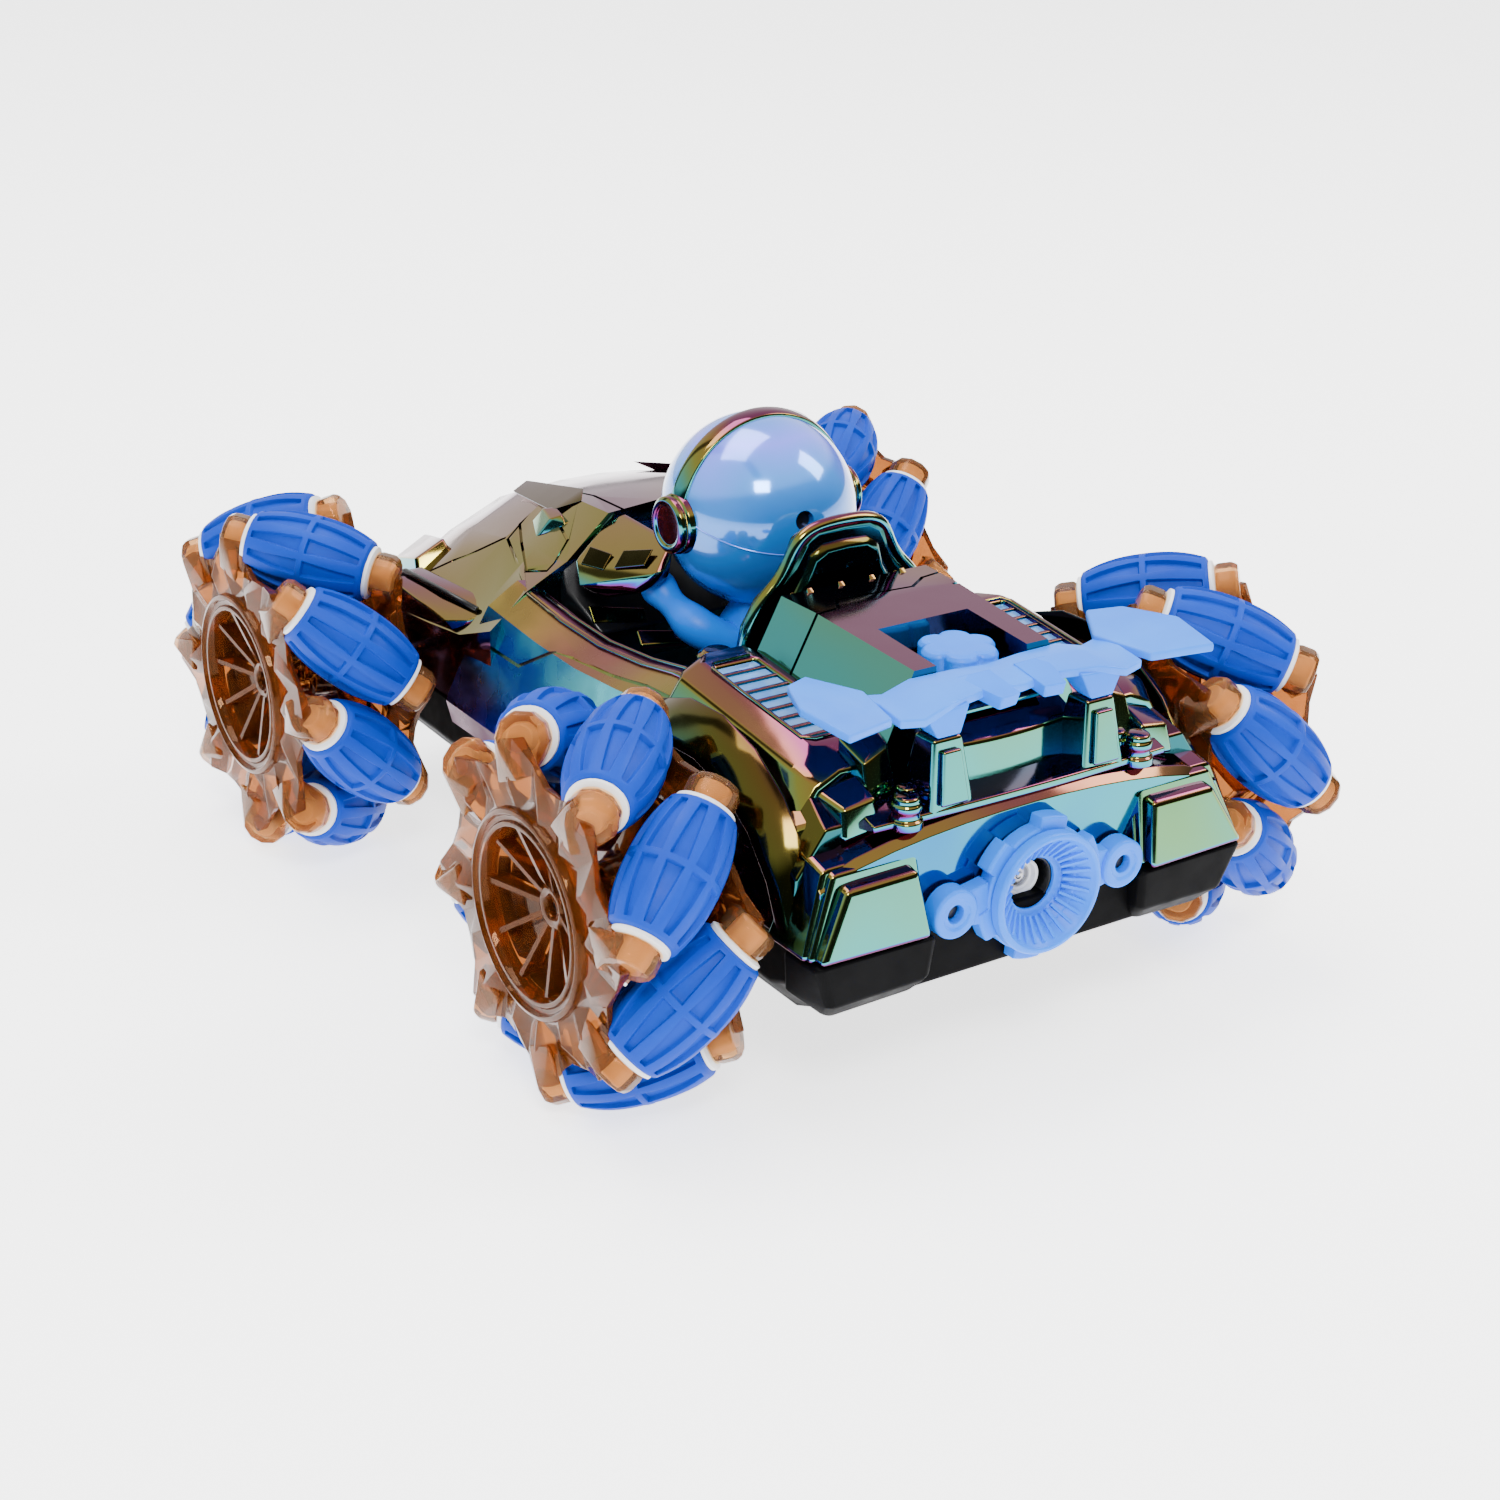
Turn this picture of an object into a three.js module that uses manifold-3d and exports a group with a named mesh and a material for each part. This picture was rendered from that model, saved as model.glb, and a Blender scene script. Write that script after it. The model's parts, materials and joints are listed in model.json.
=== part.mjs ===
// Mecanum wheel stunt robot: a low car body on four wheels with barrel rollers at 45 degrees, driven by
// four geared motors, with a seated driver figure, a tail wing and a water mist nozzle at the back.
// Millimetres. +X is the robot's right, +Y is forward, +Z is up from the ground.

import * as THREE from 'three';
import { ConvexGeometry } from 'three/addons/geometries/ConvexGeometry.js';
import { mergeVertices } from 'three/addons/utils/BufferGeometryUtils.js';
import Module from 'manifold-3d';

const wasm = await Module();
wasm.setup();

// Driving dimensions
const TRACK_HALF = 89.35;
const FRONT_HUB_Y = 95.9;
const REAR_HUB_Y = -69;
const HUB_Z = 50.3;
const GAP = 0.3;

// Wheel and roller
const ROLLERS_PER_WHEEL = 8;
const ROLLER_CIRCLE = 39.3;
const ROLLER_RADIUS = 12;
const ROLLER_END_RADIUS = 7.7;
const ROLLER_HALF = 17.4;
const STUB_RADIUS = 3;
const STUB_HALF = 22;
const SOCKET_RADIUS = 4.2;
const BOSS_RADIUS = 7.5;
const BOSS_HALF = 25;
const BOSS_START = 17.9;
const RING_RADIUS = 25.6;
const WHEEL_HALF = 18.85;
const ROOT_OUT = 15.5;
const AXLE_RADIUS = 2;

// Body
const SPLIT_Z = 49;
const FLOOR_Z = 27;
const DOOR_HALF = [21, 31];
const DOOR_Y = -9;
const DOOR_CLEARANCE = 0.4;
const SWITCH_Y = 29.5;
const SWITCH_TRAVEL = 2.8;
const MOTOR_HOLE = 8;
const SNOUT_RADIUS = 6.5;

// Water system
const NOZZLE_Z = 52.5;
const NOZZLE_RADIUS = 18.5;
const PANEL_Y = -120;
const CAP_Y = -88.8;
const NECK_RADIUS = 7.4;
const NECK_BORE = 5.4;
const CAP_Z = 96;

// Driver
const HELMET_RADIUS = 26.2;
const HELMET_AT = [0, -2, 112];

const COLOURS = {
  rollerBlue: { color: 0x1f5fd6, roughness: 0.45, metalness: 0 },
  amber: { color: 0x9a5420, roughness: 0.15, metalness: 0 },
  black: { color: 0x222226, roughness: 0.5, metalness: 0 },
  plated: { color: 0x5f95a0, roughness: 0.18, metalness: 1 },
  skyBlue: { color: 0x5aa8f4, roughness: 0.3, metalness: 0 },
  white: { color: 0xe8e8e6, roughness: 0.4, metalness: 0 },
  green: { color: 0x1d6b3a, roughness: 0.6, metalness: 0 },
  grey: { color: 0x8b8d90, roughness: 0.5, metalness: 0 },
};

const robot = new THREE.Group();

// Solids

function solid(geometry) {
  const bare = geometry.index ? geometry.toNonIndexed() : geometry;
  bare.deleteAttribute('normal');
  bare.deleteAttribute('uv');
  const merged = mergeVertices(bare);
  return new wasm.Manifold(new wasm.Mesh({
    numProp: 3,
    vertProperties: new Float32Array(merged.attributes.position.array),
    triVerts: new Uint32Array(merged.index.array),
  }));
}

function join(solids) {
  return solids.reduce((whole, next) => whole.add(next));
}

function cut(whole, tools) {
  return tools.reduce((left, tool) => left.subtract(tool), whole);
}

function add(name, shape, look) {
  const mesh = shape.getMesh();
  const geometry = new THREE.BufferGeometry();
  geometry.setAttribute('position', new THREE.BufferAttribute(mesh.vertProperties, 3));
  geometry.setIndex(new THREE.BufferAttribute(mesh.triVerts, 1));
  geometry.computeVertexNormals();
  const node = new THREE.Mesh(geometry, new THREE.MeshStandardMaterial(COLOURS[look]));
  node.name = name;
  robot.add(node);
}

function hull(points) {
  return solid(new ConvexGeometry(points.map((p) => new THREE.Vector3(...p))));
}

function block(x, y, z) {
  const geometry = new THREE.BoxGeometry(x[1] - x[0], y[1] - y[0], z[1] - z[0]);
  geometry.translate((x[0] + x[1]) / 2, (y[0] + y[1]) / 2, (z[0] + z[1]) / 2);
  return solid(geometry);
}

// A round bar from one point to another.
function bar(from, to, radius, sides = 16) {
  const start = new THREE.Vector3(...from);
  const end = new THREE.Vector3(...to);
  const geometry = new THREE.CylinderGeometry(radius, radius, start.distanceTo(end), sides);
  const along = end.clone().sub(start).normalize();
  geometry.applyQuaternion(new THREE.Quaternion().setFromUnitVectors(new THREE.Vector3(0, 1, 0), along));
  geometry.translate(...start.add(end).multiplyScalar(0.5).toArray());
  return solid(geometry);
}

// A turned body: profile pairs are radius and distance along the axis.
function turned(profile, at, along, sides) {
  const geometry = new THREE.LatheGeometry(profile.map(([r, h]) => new THREE.Vector2(r, h)), sides);
  const axis = new THREE.Vector3(...along).normalize();
  geometry.applyQuaternion(new THREE.Quaternion().setFromUnitVectors(new THREE.Vector3(0, 1, 0), axis));
  geometry.translate(...at);
  return solid(geometry);
}

// A body lofted along Y: each station is y, the half-widths at the bottom and the top, and the two heights.
function loft(stations) {
  const corners = stations.map(([y, low, high, zLow, zHigh]) => [
    [-low, y, zLow], [low, y, zLow], [-high, y, zHigh], [high, y, zHigh],
  ]);
  const pieces = [];
  for (let i = 1; i < corners.length; i += 1) {
    pieces.push(hull([...corners[i - 1], ...corners[i]]));
  }
  return join(pieces);
}

function bothSides(make) {
  return [make(-1), make(1)];
}

// Wheels

const WHEELS = [
  { name: 'fl', side: -1, y: FRONT_HUB_Y, slant: -1, phase: -29.2 },
  { name: 'fr', side: 1, y: FRONT_HUB_Y, slant: -1, phase: -31.4 },
  { name: 'rl', side: -1, y: REAR_HUB_Y, slant: 1, phase: -30.1 },
  { name: 'rr', side: 1, y: REAR_HUB_Y, slant: 1, phase: -17.3 },
];

function rollerAngle(wheel, index) {
  return THREE.MathUtils.degToRad(wheel.phase + (index * 360) / ROLLERS_PER_WHEEL);
}

// A point beside roller angle theta: out along the axle, round the rim, and out from the hub.
function wheelPoint(wheel, theta, [out, round, radial]) {
  const turn = round * wheel.slant;
  return [
    wheel.side * (TRACK_HALF + out),
    wheel.y + radial * Math.cos(theta) - turn * Math.sin(theta),
    HUB_Z + radial * Math.sin(theta) + turn * Math.cos(theta),
  ];
}

function alongRoller(wheel, theta, distance) {
  const step = distance * Math.SQRT1_2;
  return wheelPoint(wheel, theta, [step, step, ROLLER_CIRCLE]);
}

// A body turned about the axis of the roller at theta.
function turnedOnRoller(wheel, theta, profile, sides) {
  const start = new THREE.Vector3(...alongRoller(wheel, theta, -1));
  const end = new THREE.Vector3(...alongRoller(wheel, theta, 1));
  const along = end.clone().sub(start).toArray();
  return turned(profile, start.add(end).multiplyScalar(0.5).toArray(), along, sides);
}

function roller(wheel, theta) {
  const profile = [
    [0, -STUB_HALF], [STUB_RADIUS, -STUB_HALF], [STUB_RADIUS, -ROLLER_HALF - 0.1],
    [ROLLER_END_RADIUS, -ROLLER_HALF], [10.9, -8.5], [ROLLER_RADIUS, 0], [10.9, 8.5],
    [ROLLER_END_RADIUS, ROLLER_HALF],
    [STUB_RADIUS, ROLLER_HALF + 0.1], [STUB_RADIUS, STUB_HALF], [0, STUB_HALF],
  ];
  return turnedOnRoller(wheel, theta, profile, 8);
}

// The corners of a boss's hexagonal end at a distance along the roller's axis.
function bossEnd(wheel, theta, distance) {
  const step = distance * Math.SQRT1_2;
  const corners = [];
  for (let i = 0; i < 6; i += 1) {
    const angle = (i * Math.PI) / 3;
    const across = BOSS_RADIUS * Math.cos(angle) * Math.SQRT1_2;
    const up = BOSS_RADIUS * Math.sin(angle);
    corners.push(wheelPoint(wheel, theta, [step - across, step + across, ROLLER_CIRCLE + up]));
  }
  return corners;
}

// One star-shaped flange: face is 1 for the outer one and -1 for the inner one.
function flange(wheel, face) {
  const disc = turned(
    [
      [0, GAP / 2], [8, GAP / 2], [8, 9], [RING_RADIUS, 9], [RING_RADIUS, WHEEL_HALF],
      [20, WHEEL_HALF], [18, 15.5], [0, 15.5],
    ],
    [wheel.side * TRACK_HALF, wheel.y, HUB_Z],
    [wheel.side * face, 0, 0],
    12,
  );
  const pieces = [disc];
  const hollows = [];
  for (let i = 0; i < ROLLERS_PER_WHEEL; i += 1) {
    const theta = rollerAngle(wheel, i);
    const at = (out, round, radial) => wheelPoint(wheel, theta, [out * face, round * face, radial]);
    pieces.push(hull([
      at(WHEEL_HALF, 7.5, 22), at(WHEEL_HALF, 15, 22), at(ROOT_OUT, 9, 22), at(ROOT_OUT, 15, 22),
      ...bossEnd(wheel, theta, BOSS_START * face),
      ...bossEnd(wheel, theta, BOSS_HALF * face),
    ]));
    hollows.push(bar(
      alongRoller(wheel, theta, (BOSS_START - 1) * face),
      alongRoller(wheel, theta, (STUB_HALF + 0.6) * face),
      SOCKET_RADIUS,
      6,
    ));
  }
  return cut(join(pieces), hollows);
}

function addWheel(wheel) {
  add(`wheel_outer_flange_${wheel.name}`, flange(wheel, 1), 'amber');
  const axle = bar(
    [wheel.side * (TRACK_HALF - 10), wheel.y, HUB_Z],
    [wheel.side * (TRACK_HALF - 34), wheel.y, HUB_Z],
    AXLE_RADIUS,
    10,
  );
  add(`wheel_inner_flange_${wheel.name}`, flange(wheel, -1).add(axle), 'amber');
  for (let i = 0; i < ROLLERS_PER_WHEEL; i += 1) {
    add(`roller_${wheel.name}_${i + 1}`, roller(wheel, rollerAngle(wheel, i)), 'rollerBlue');
  }
}

function addGearmotor(wheel) {
  const inward = (x) => wheel.side * x;
  const span = (a, b) => [Math.min(inward(a), inward(b)), Math.max(inward(a), inward(b))];
  const box = block(span(30, 50), [wheel.y - 11, wheel.y + 11], [HUB_Z - 11, HUB_Z + 9]);
  const snout = bar([inward(48), wheel.y, HUB_Z], [inward(64), wheel.y, HUB_Z], SNOUT_RADIUS, 10);
  const can = bar([inward(32), wheel.y, HUB_Z], [inward(19.5), wheel.y, HUB_Z], 9, 10);
  const bore = bar([inward(66), wheel.y, HUB_Z], [inward(54), wheel.y, HUB_Z], AXLE_RADIUS + 0.6, 10);
  add(`gearmotor_${wheel.name}`, join([box, snout, can]).subtract(bore), 'grey');
}

// Body

// Clears the snouts of the motors through the walls of the tub and the shell.
function snoutHoles() {
  return WHEELS.map((wheel) => bar(
    [wheel.side * 40, wheel.y, HUB_Z], [wheel.side * 80, wheel.y, HUB_Z], MOTOR_HOLE, 12,
  ));
}

// The port that the mist nozzle looks out of, half in the tub and half in the deck.
function mistPort() {
  return bar([0, -100, NOZZLE_Z], [0, -130, NOZZLE_Z], 7, 16);
}

const TUB = [
  [-119.5, 58, 61, 30, SPLIT_Z], [-104, 60, 61, FLOOR_Z, SPLIT_Z], [118, 58, 60, FLOOR_Z, SPLIT_Z],
  [138, 44, 48, 33, SPLIT_Z],
];
const TUB_INSIDE = [
  [-116.5, 54, 57, FLOOR_Z + 6, SPLIT_Z + 1], [-104, 56, 58, FLOOR_Z + 3, SPLIT_Z + 1],
  [116, 55, 57, FLOOR_Z + 3, SPLIT_Z + 1], [134, 41, 45, FLOOR_Z + 9, SPLIT_Z + 1],
];

function chassisBase() {
  const doorway = block(
    [-DOOR_HALF[0], DOOR_HALF[0]],
    [DOOR_Y - DOOR_HALF[1], DOOR_Y + DOOR_HALF[1]],
    [FLOOR_Z - 1, FLOOR_Z + 5],
  );
  const switchSlot = block(
    [-8, 8 + SWITCH_TRAVEL], [SWITCH_Y - 4.5, SWITCH_Y + 4.5], [FLOOR_Z - 1, FLOOR_Z + 4],
  );
  const corners = bothSides((side) => hull([
    [side * 34, -114, 34], [side * 60, -114, 31], [side * 34, -125, 36], [side * 59, -124, 35],
    [side * 33, -114, SPLIT_Z], [side * 64, -114, SPLIT_Z], [side * 34, -126, SPLIT_Z],
    [side * 63, -126, SPLIT_Z],
  ]));
  const hollows = [loft(TUB_INSIDE), doorway, switchSlot, mistPort(), ...snoutHoles()];
  return cut(join([loft(TUB), ...corners]), hollows);
}

const LOW = SPLIT_Z + GAP;
// Nose, bonnet, and the two low sills beside the cockpit.
const FRONT = [
  [138, 46, 34, LOW, 62], [122, 60, 46, LOW, 76], [96, 62, 42, LOW, 91], [70, 62, 36, LOW, 98.5],
  [40, 62, 28, LOW, 103.5],
];
const SILLS = [[40, 62, 50, LOW, 84], [-40, 62, 50, LOW, 86]];
const FRONT_INSIDE = [
  [134, 43, 31, LOW - 1, 59.5], [120, 57, 43, LOW - 1, 73.5], [96, 59, 39, LOW - 1, 88],
  [70, 59, 33, LOW - 1, 95.5], [41, 59, 26, LOW - 1, 100],
];
const SILLS_INSIDE = [[42, 59, 47, LOW - 1, 81], [-40, 59, 47, LOW - 1, 83]];

// The cockpit is open at the top, from the bonnet's back edge to the seat.
const COCKPIT = { x: 40, y: [-39, 36], z: 56 };

function bodyShell() {
  const outside = join([loft(FRONT), loft(SILLS)]);
  const inside = join([loft(FRONT_INSIDE), loft(SILLS_INSIDE)]);
  const well = hull([
    [-COCKPIT.x, -50, LOW - 1], [COCKPIT.x, -50, LOW - 1], [-COCKPIT.x, COCKPIT.y[1], LOW - 1],
    [COCKPIT.x, COCKPIT.y[1], LOW - 1], [-46, -50, 120], [46, -50, 120], [-40, 46, 120], [40, 46, 120],
  ]);
  return cut(outside, [inside, well, ...snoutHoles()]);
}

// Rear deck: centre hump, two vent pods, back panel, two pylons and the bumper blocks.
const DECK_FRONT = -40 - GAP;
const DECK = [[DECK_FRONT, 62, 49, LOW, 88], [-104, 62, 49, LOW, 84], [-114, 61, 54, LOW, 78]];
const DECK_INSIDE = [
  [DECK_FRONT - 3, 59, 46, LOW - 1, 85], [-104, 59, 46, LOW - 1, 81], [-112, 58, 51, LOW - 1, 75],
];
const HUMP = [[DECK_FRONT - 6, 33, 22, 82, 105], [-98, 30, 19, 80, 104]];
const HUMP_INSIDE = [[DECK_FRONT - 9, 30, 20, 79, 102.5], [-95, 27, 17, 79, 101.5]];
const POD_X = [31, 49];
const PYLON_X = 22.8;

// The seat back stands up from the deck's front edge.
function seatBack() {
  return hull([
    [-25, -46, 82], [25, -46, 82], [-25, -41, 82], [25, -41, 82], [-24, -46, 102], [24, -46, 102],
    [-24, -41.5, 102], [24, -41.5, 102], [-12, -46, 120.5], [12, -46, 120.5], [-12, -42.5, 120.5],
    [12, -42.5, 120.5],
  ]);
}

function rearDeck() {
  const pods = bothSides((side) => hull([
    [side * POD_X[0], DECK_FRONT, 80], [side * 58, DECK_FRONT, 76], [side * POD_X[0], DECK_FRONT, 92],
    [side * POD_X[1], DECK_FRONT, 93.5], [side * POD_X[0], -96, 80], [side * 58, -96, 74],
    [side * POD_X[0], -96, 86], [side * POD_X[1], -96, 87],
  ]));
  const panel = hull([
    [-61, -114, LOW], [61, -114, LOW], [-61, PANEL_Y, LOW], [61, PANEL_Y, LOW],
    [-54, -112, 78], [54, -112, 78], [-54, -119, 75], [54, -119, 75],
  ]);
  const pylons = bothSides((side) => hull([
    [side * PYLON_X - 6, -121, 72], [side * PYLON_X + 6, -121, 72], [side * PYLON_X - 6, -108, 72],
    [side * PYLON_X + 6, -108, 72], [side * PYLON_X - 4, -118, 93], [side * PYLON_X + 4, -118, 93],
    [side * PYLON_X - 4, -110, 93], [side * PYLON_X + 4, -110, 93],
  ]));
  const bumpers = bothSides((side) => hull([
    [side * 33, -118, LOW], [side * 64, -118, LOW], [side * 34, -126, LOW], [side * 63, -126, LOW],
    [side * 34, -118, 68], [side * 58, -118, 67], [side * 36, -123, 66], [side * 56, -123, 65],
  ]));
  const outside = join([loft(DECK), loft(HUMP), ...pods, panel, ...pylons, ...bumpers, seatBack()]);
  const inside = join([loft(DECK_INSIDE), loft(HUMP_INSIDE)]);
  const pocket = block([-16.5, 16.5], [-104, -75], [88, 120]);
  const neckHole = bar([0, CAP_Y, 76], [0, CAP_Y, 120], NECK_RADIUS + 0.6, 12);
  const frontDoor = block([-40, 40], [DECK_FRONT - 12, DECK_FRONT + 1], [LOW - 1, 76]);
  return cut(outside, [inside, pocket, neckHole, mistPort(), frontDoor, ...snoutHoles()]);
}

function cockpitTub() {
  const outside = loft([[34.5, 38, 38, COCKPIT.z, 78], [-38.5, 38, 38, COCKPIT.z, 80]]);
  const inside = loft([[24, 33, 34, COCKPIT.z + 3, 90], [-36, 33, 34, COCKPIT.z + 3, 90]]);
  return outside.subtract(inside);
}

// Battery and electronics

function batteryDoor() {
  const x = DOOR_HALF[0] - DOOR_CLEARANCE;
  const half = DOOR_HALF[1] - DOOR_CLEARANCE;
  return block([-x, x], [DOOR_Y - half, DOOR_Y + half], [FLOOR_Z, FLOOR_Z + 2.6]);
}

function batteryPack() {
  return block([-18, 18], [DOOR_Y - 28, DOOR_Y + 28], [FLOOR_Z + 4, FLOOR_Z + 22]);
}

function circuitBoard() {
  return block([-26, 26], [44, 78], [FLOOR_Z + 6, FLOOR_Z + 7.6]);
}

function powerSwitch() {
  const slider = block([-5, 5], [SWITCH_Y - 1.5, SWITCH_Y + 1.5], [FLOOR_Z - 1.2, FLOOR_Z + 1.5]);
  const seat = block([-7, 7], [SWITCH_Y - 2.5, SWITCH_Y + 2.5], [FLOOR_Z + 1.4, FLOOR_Z + 2.6]);
  return slider.add(seat);
}

// Water tank with its filler neck, open down to the tank's floor.
function waterTank() {
  const tank = block([-17, 17], [-104, -58], [56, 80]);
  const neck = bar([0, CAP_Y, 79], [0, CAP_Y, CAP_Z - GAP], NECK_RADIUS, 12);
  const hollow = block([-14.5, 14.5], [-101.5, -60.5], [58.5, 77.5]);
  const bore = bar([0, CAP_Y, 70], [0, CAP_Y, CAP_Z + 2], NECK_BORE, 12);
  return cut(join([tank, neck]), [hollow, bore]);
}

// A flat-bottomed cap with six lobes round its rim.
function fillerCap() {
  const pieces = [turned([[0, 0], [7, 0], [7, 6.5], [0, 6.8]], [0, CAP_Y, CAP_Z], [0, 0, 1], 12)];
  for (let i = 0; i < 6; i += 1) {
    const angle = (i * Math.PI) / 3;
    const at = [6.1 * Math.cos(angle), CAP_Y + 6.1 * Math.sin(angle), CAP_Z];
    pieces.push(turned([[0, 0], [3.6, 0], [3.6, 5], [2, 6.7], [0, 6.7]], at, [0, 0, 1], 6));
  }
  return join(pieces);
}

// Mist nozzle

function nozzleSurround() {
  const front = PANEL_Y - GAP;
  const cup = turned(
    [
      [7.2, 0], [NOZZLE_RADIUS, 0], [NOZZLE_RADIUS, 6], [17, 8.5], [14.5, 8.5], [8.5, 2.6], [7.2, 2.6],
      [7.2, 0],
    ],
    [0, front, NOZZLE_Z], [0, -1, 0], 20,
  );
  const ears = bothSides((side) => bar(
    [side * 25.4, front, NOZZLE_Z], [side * 25.4, front - 5, NOZZLE_Z], 6.3, 10,
  ));
  const webs = bothSides((side) => block(
    side < 0 ? [-25, -16] : [16, 25], [front - 3.5, front], [NOZZLE_Z - 5.5, NOZZLE_Z + 5.5],
  ));
  const holes = bothSides((side) => bar(
    [side * 25.4, front + 1, NOZZLE_Z], [side * 25.4, front - 9, NOZZLE_Z], 2.3, 6,
  ));
  return cut(join([cup, ...ears, ...webs]), holes);
}

function mistNozzle() {
  return turned(
    [[0, -6], [6.3, -6], [6.3, 2.4], [5, 2.8], [4, 1.2], [0, 1.2]],
    [0, PANEL_Y - GAP, NOZZLE_Z], [0, -1, 0], 12,
  );
}

// Tail wing: a centre blade, two winglets raised at their tips, two struts and two fin tabs.
function tailWing() {
  const blade = hull([
    [-34, -99.5, 98.6], [34, -99.5, 98.6], [-34, -99.5, 101], [34, -99.5, 101],
    [-37.5, -118, 98.6], [37.5, -118, 98.6], [-37.5, -118, 101], [37.5, -118, 101],
  ]);
  const winglets = bothSides((side) => hull([
    [side * 33.5, -98.5, 98.6], [side * 33.5, -98.5, 101], [side * 37, -118, 98.6], [side * 37, -118, 101],
    [side * 46, -88, 101], [side * 46, -88, 103], [side * 57, -99, 101.5], [side * 57, -99, 103.5],
    [side * 53, -120.5, 101], [side * 53, -120.5, 103.5],
  ]));
  const struts = bothSides((side) => hull([
    [side * 19, -117, 93 + GAP], [side * 26.5, -117, 93 + GAP], [side * 19, -111, 93 + GAP],
    [side * 26.5, -111, 93 + GAP], [side * 17, -117, 99], [side * 28.5, -117, 99], [side * 17, -103, 99],
    [side * 28.5, -103, 99],
  ]));
  const tabs = bothSides((side) => block(
    side < 0 ? [-12, -4] : [4, 12], [-121.5, -117], [94, 100.9],
  ));
  return join([blade, ...winglets, ...struts, ...tabs]);
}

// Driver

function driverHelmet() {
  const sphere = new THREE.SphereGeometry(HELMET_RADIUS - 0.6, 16, 9);
  sphere.translate(...HELMET_AT);
  return solid(sphere);
}

// A band over the helmet from ear to ear, ending in two round ear discs.
function headset() {
  const [x, y, z] = HELMET_AT;
  const shell = bar([x, y - 5, z], [x, y + 5, z], HELMET_RADIUS + 0.6, 20);
  const hollow = bar([x, y - 6, z], [x, y + 6, z], HELMET_RADIUS - 0.2, 20);
  const upperHalf = block([-30, 30], [y - 6, y + 6], [z, z + 30]);
  const discs = bothSides((side) => bar(
    [side * (HELMET_RADIUS - 0.2), y, z], [side * (HELMET_RADIUS + 3), y, z], 10, 12,
  ));
  return join([shell.subtract(hollow).intersect(upperHalf), ...discs]);
}

function driverTorso() {
  const trunk = turned(
    [[0, 0], [15, 2], [20, 10], [17, 22], [10, 26], [0, 26]], [0, -4, 59.5], [0, 0, 1], 10,
  );
  const arms = bothSides((side) => bar([side * 12, -4, 76], [side * 25, 12, 86], 4.5, 8));
  const hands = bothSides((side) => turned(
    [[0, -6], [5, -3.5], [5, 3.5], [0, 6]], [side * 26, 13, 87], [0, 0, 1], 8,
  ));
  return join([trunk, ...arms, ...hands]);
}

// Assembly

WHEELS.forEach(addWheel);
WHEELS.forEach(addGearmotor);
add('chassis_base', chassisBase(), 'black');
add('battery_door', batteryDoor(), 'black');
add('battery_pack', batteryPack(), 'grey');
add('circuit_board', circuitBoard(), 'green');
add('power_switch', powerSwitch(), 'white');
add('body_shell', bodyShell(), 'plated');
add('rear_deck', rearDeck(), 'plated');
add('cockpit_tub', cockpitTub(), 'black');
add('water_tank', waterTank(), 'white');
add('filler_cap', fillerCap(), 'skyBlue');
add('nozzle_surround', nozzleSurround(), 'skyBlue');
add('mist_nozzle', mistNozzle(), 'white');
add('tail_wing', tailWing(), 'skyBlue');
add('driver_helmet', driverHelmet(), 'skyBlue');
add('headset', headset(), 'plated');
add('driver_torso', driverTorso(), 'skyBlue');

// The origin is at the bottom centre of the whole robot's box.
const bounds = new THREE.Box3().setFromObject(robot);
robot.position.set(
  -(bounds.min.x + bounds.max.x) / 2,
  -(bounds.min.y + bounds.max.y) / 2,
  -bounds.min.z,
);

export default robot;
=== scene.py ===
import json
import math

import bmesh
import bpy
from mathutils import Matrix, Vector


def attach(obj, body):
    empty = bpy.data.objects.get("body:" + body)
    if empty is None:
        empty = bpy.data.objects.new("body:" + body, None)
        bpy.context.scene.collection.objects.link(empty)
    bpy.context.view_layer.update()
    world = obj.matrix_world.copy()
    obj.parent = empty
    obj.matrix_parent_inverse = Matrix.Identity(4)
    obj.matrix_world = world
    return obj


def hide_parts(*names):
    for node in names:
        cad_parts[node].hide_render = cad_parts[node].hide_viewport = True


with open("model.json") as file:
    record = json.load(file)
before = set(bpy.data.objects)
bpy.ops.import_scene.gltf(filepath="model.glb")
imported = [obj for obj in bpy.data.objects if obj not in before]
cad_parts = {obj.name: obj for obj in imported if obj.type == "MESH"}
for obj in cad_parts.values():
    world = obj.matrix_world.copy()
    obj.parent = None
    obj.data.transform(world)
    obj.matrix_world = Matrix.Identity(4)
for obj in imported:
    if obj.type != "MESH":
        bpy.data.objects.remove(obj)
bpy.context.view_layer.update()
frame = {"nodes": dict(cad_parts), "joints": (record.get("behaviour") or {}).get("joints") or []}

# Everything below is in millimetres from a datum on the ground, 69 mm ahead of the rear axle: +X is the
# car's right, +Y is forward and +Z is up. at() turns that into the row frame's metres.

MM = 0.001
TRACK_HALF = 89.35
REAR_HUB_Y = -69.0
HUB_Z = 50.3
JOINTS = {joint["name"]: joint for joint in frame["joints"]}
REAR_HUB = Vector(JOINTS["wheel_rr_spin"]["pos_m"])
DATUM = REAR_HUB - Vector((TRACK_HALF, REAR_HUB_Y, HUB_Z)) * MM
SIDES = {"l": -1, "r": 1}


def at(x, y, z):
    return DATUM + Vector((x, y, z)) * MM


# Materials


def new_material(name):
    material = bpy.data.materials.new(name)
    material.use_nodes = True
    nodes = material.node_tree.nodes
    return material, nodes, material.node_tree.links, nodes["Principled BSDF"]


def set_inputs(node, **values):
    for key, value in values.items():
        node.inputs[key.replace("_", " ")].default_value = value


def noise(nodes, links, scale, detail=3.0):
    texture = nodes.new("ShaderNodeTexNoise")
    texture.inputs["Scale"].default_value = scale
    texture.inputs["Detail"].default_value = detail
    links.new(nodes.new("ShaderNodeTexCoord").outputs["Object"], texture.inputs["Vector"])
    return texture.outputs["Fac"]


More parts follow.
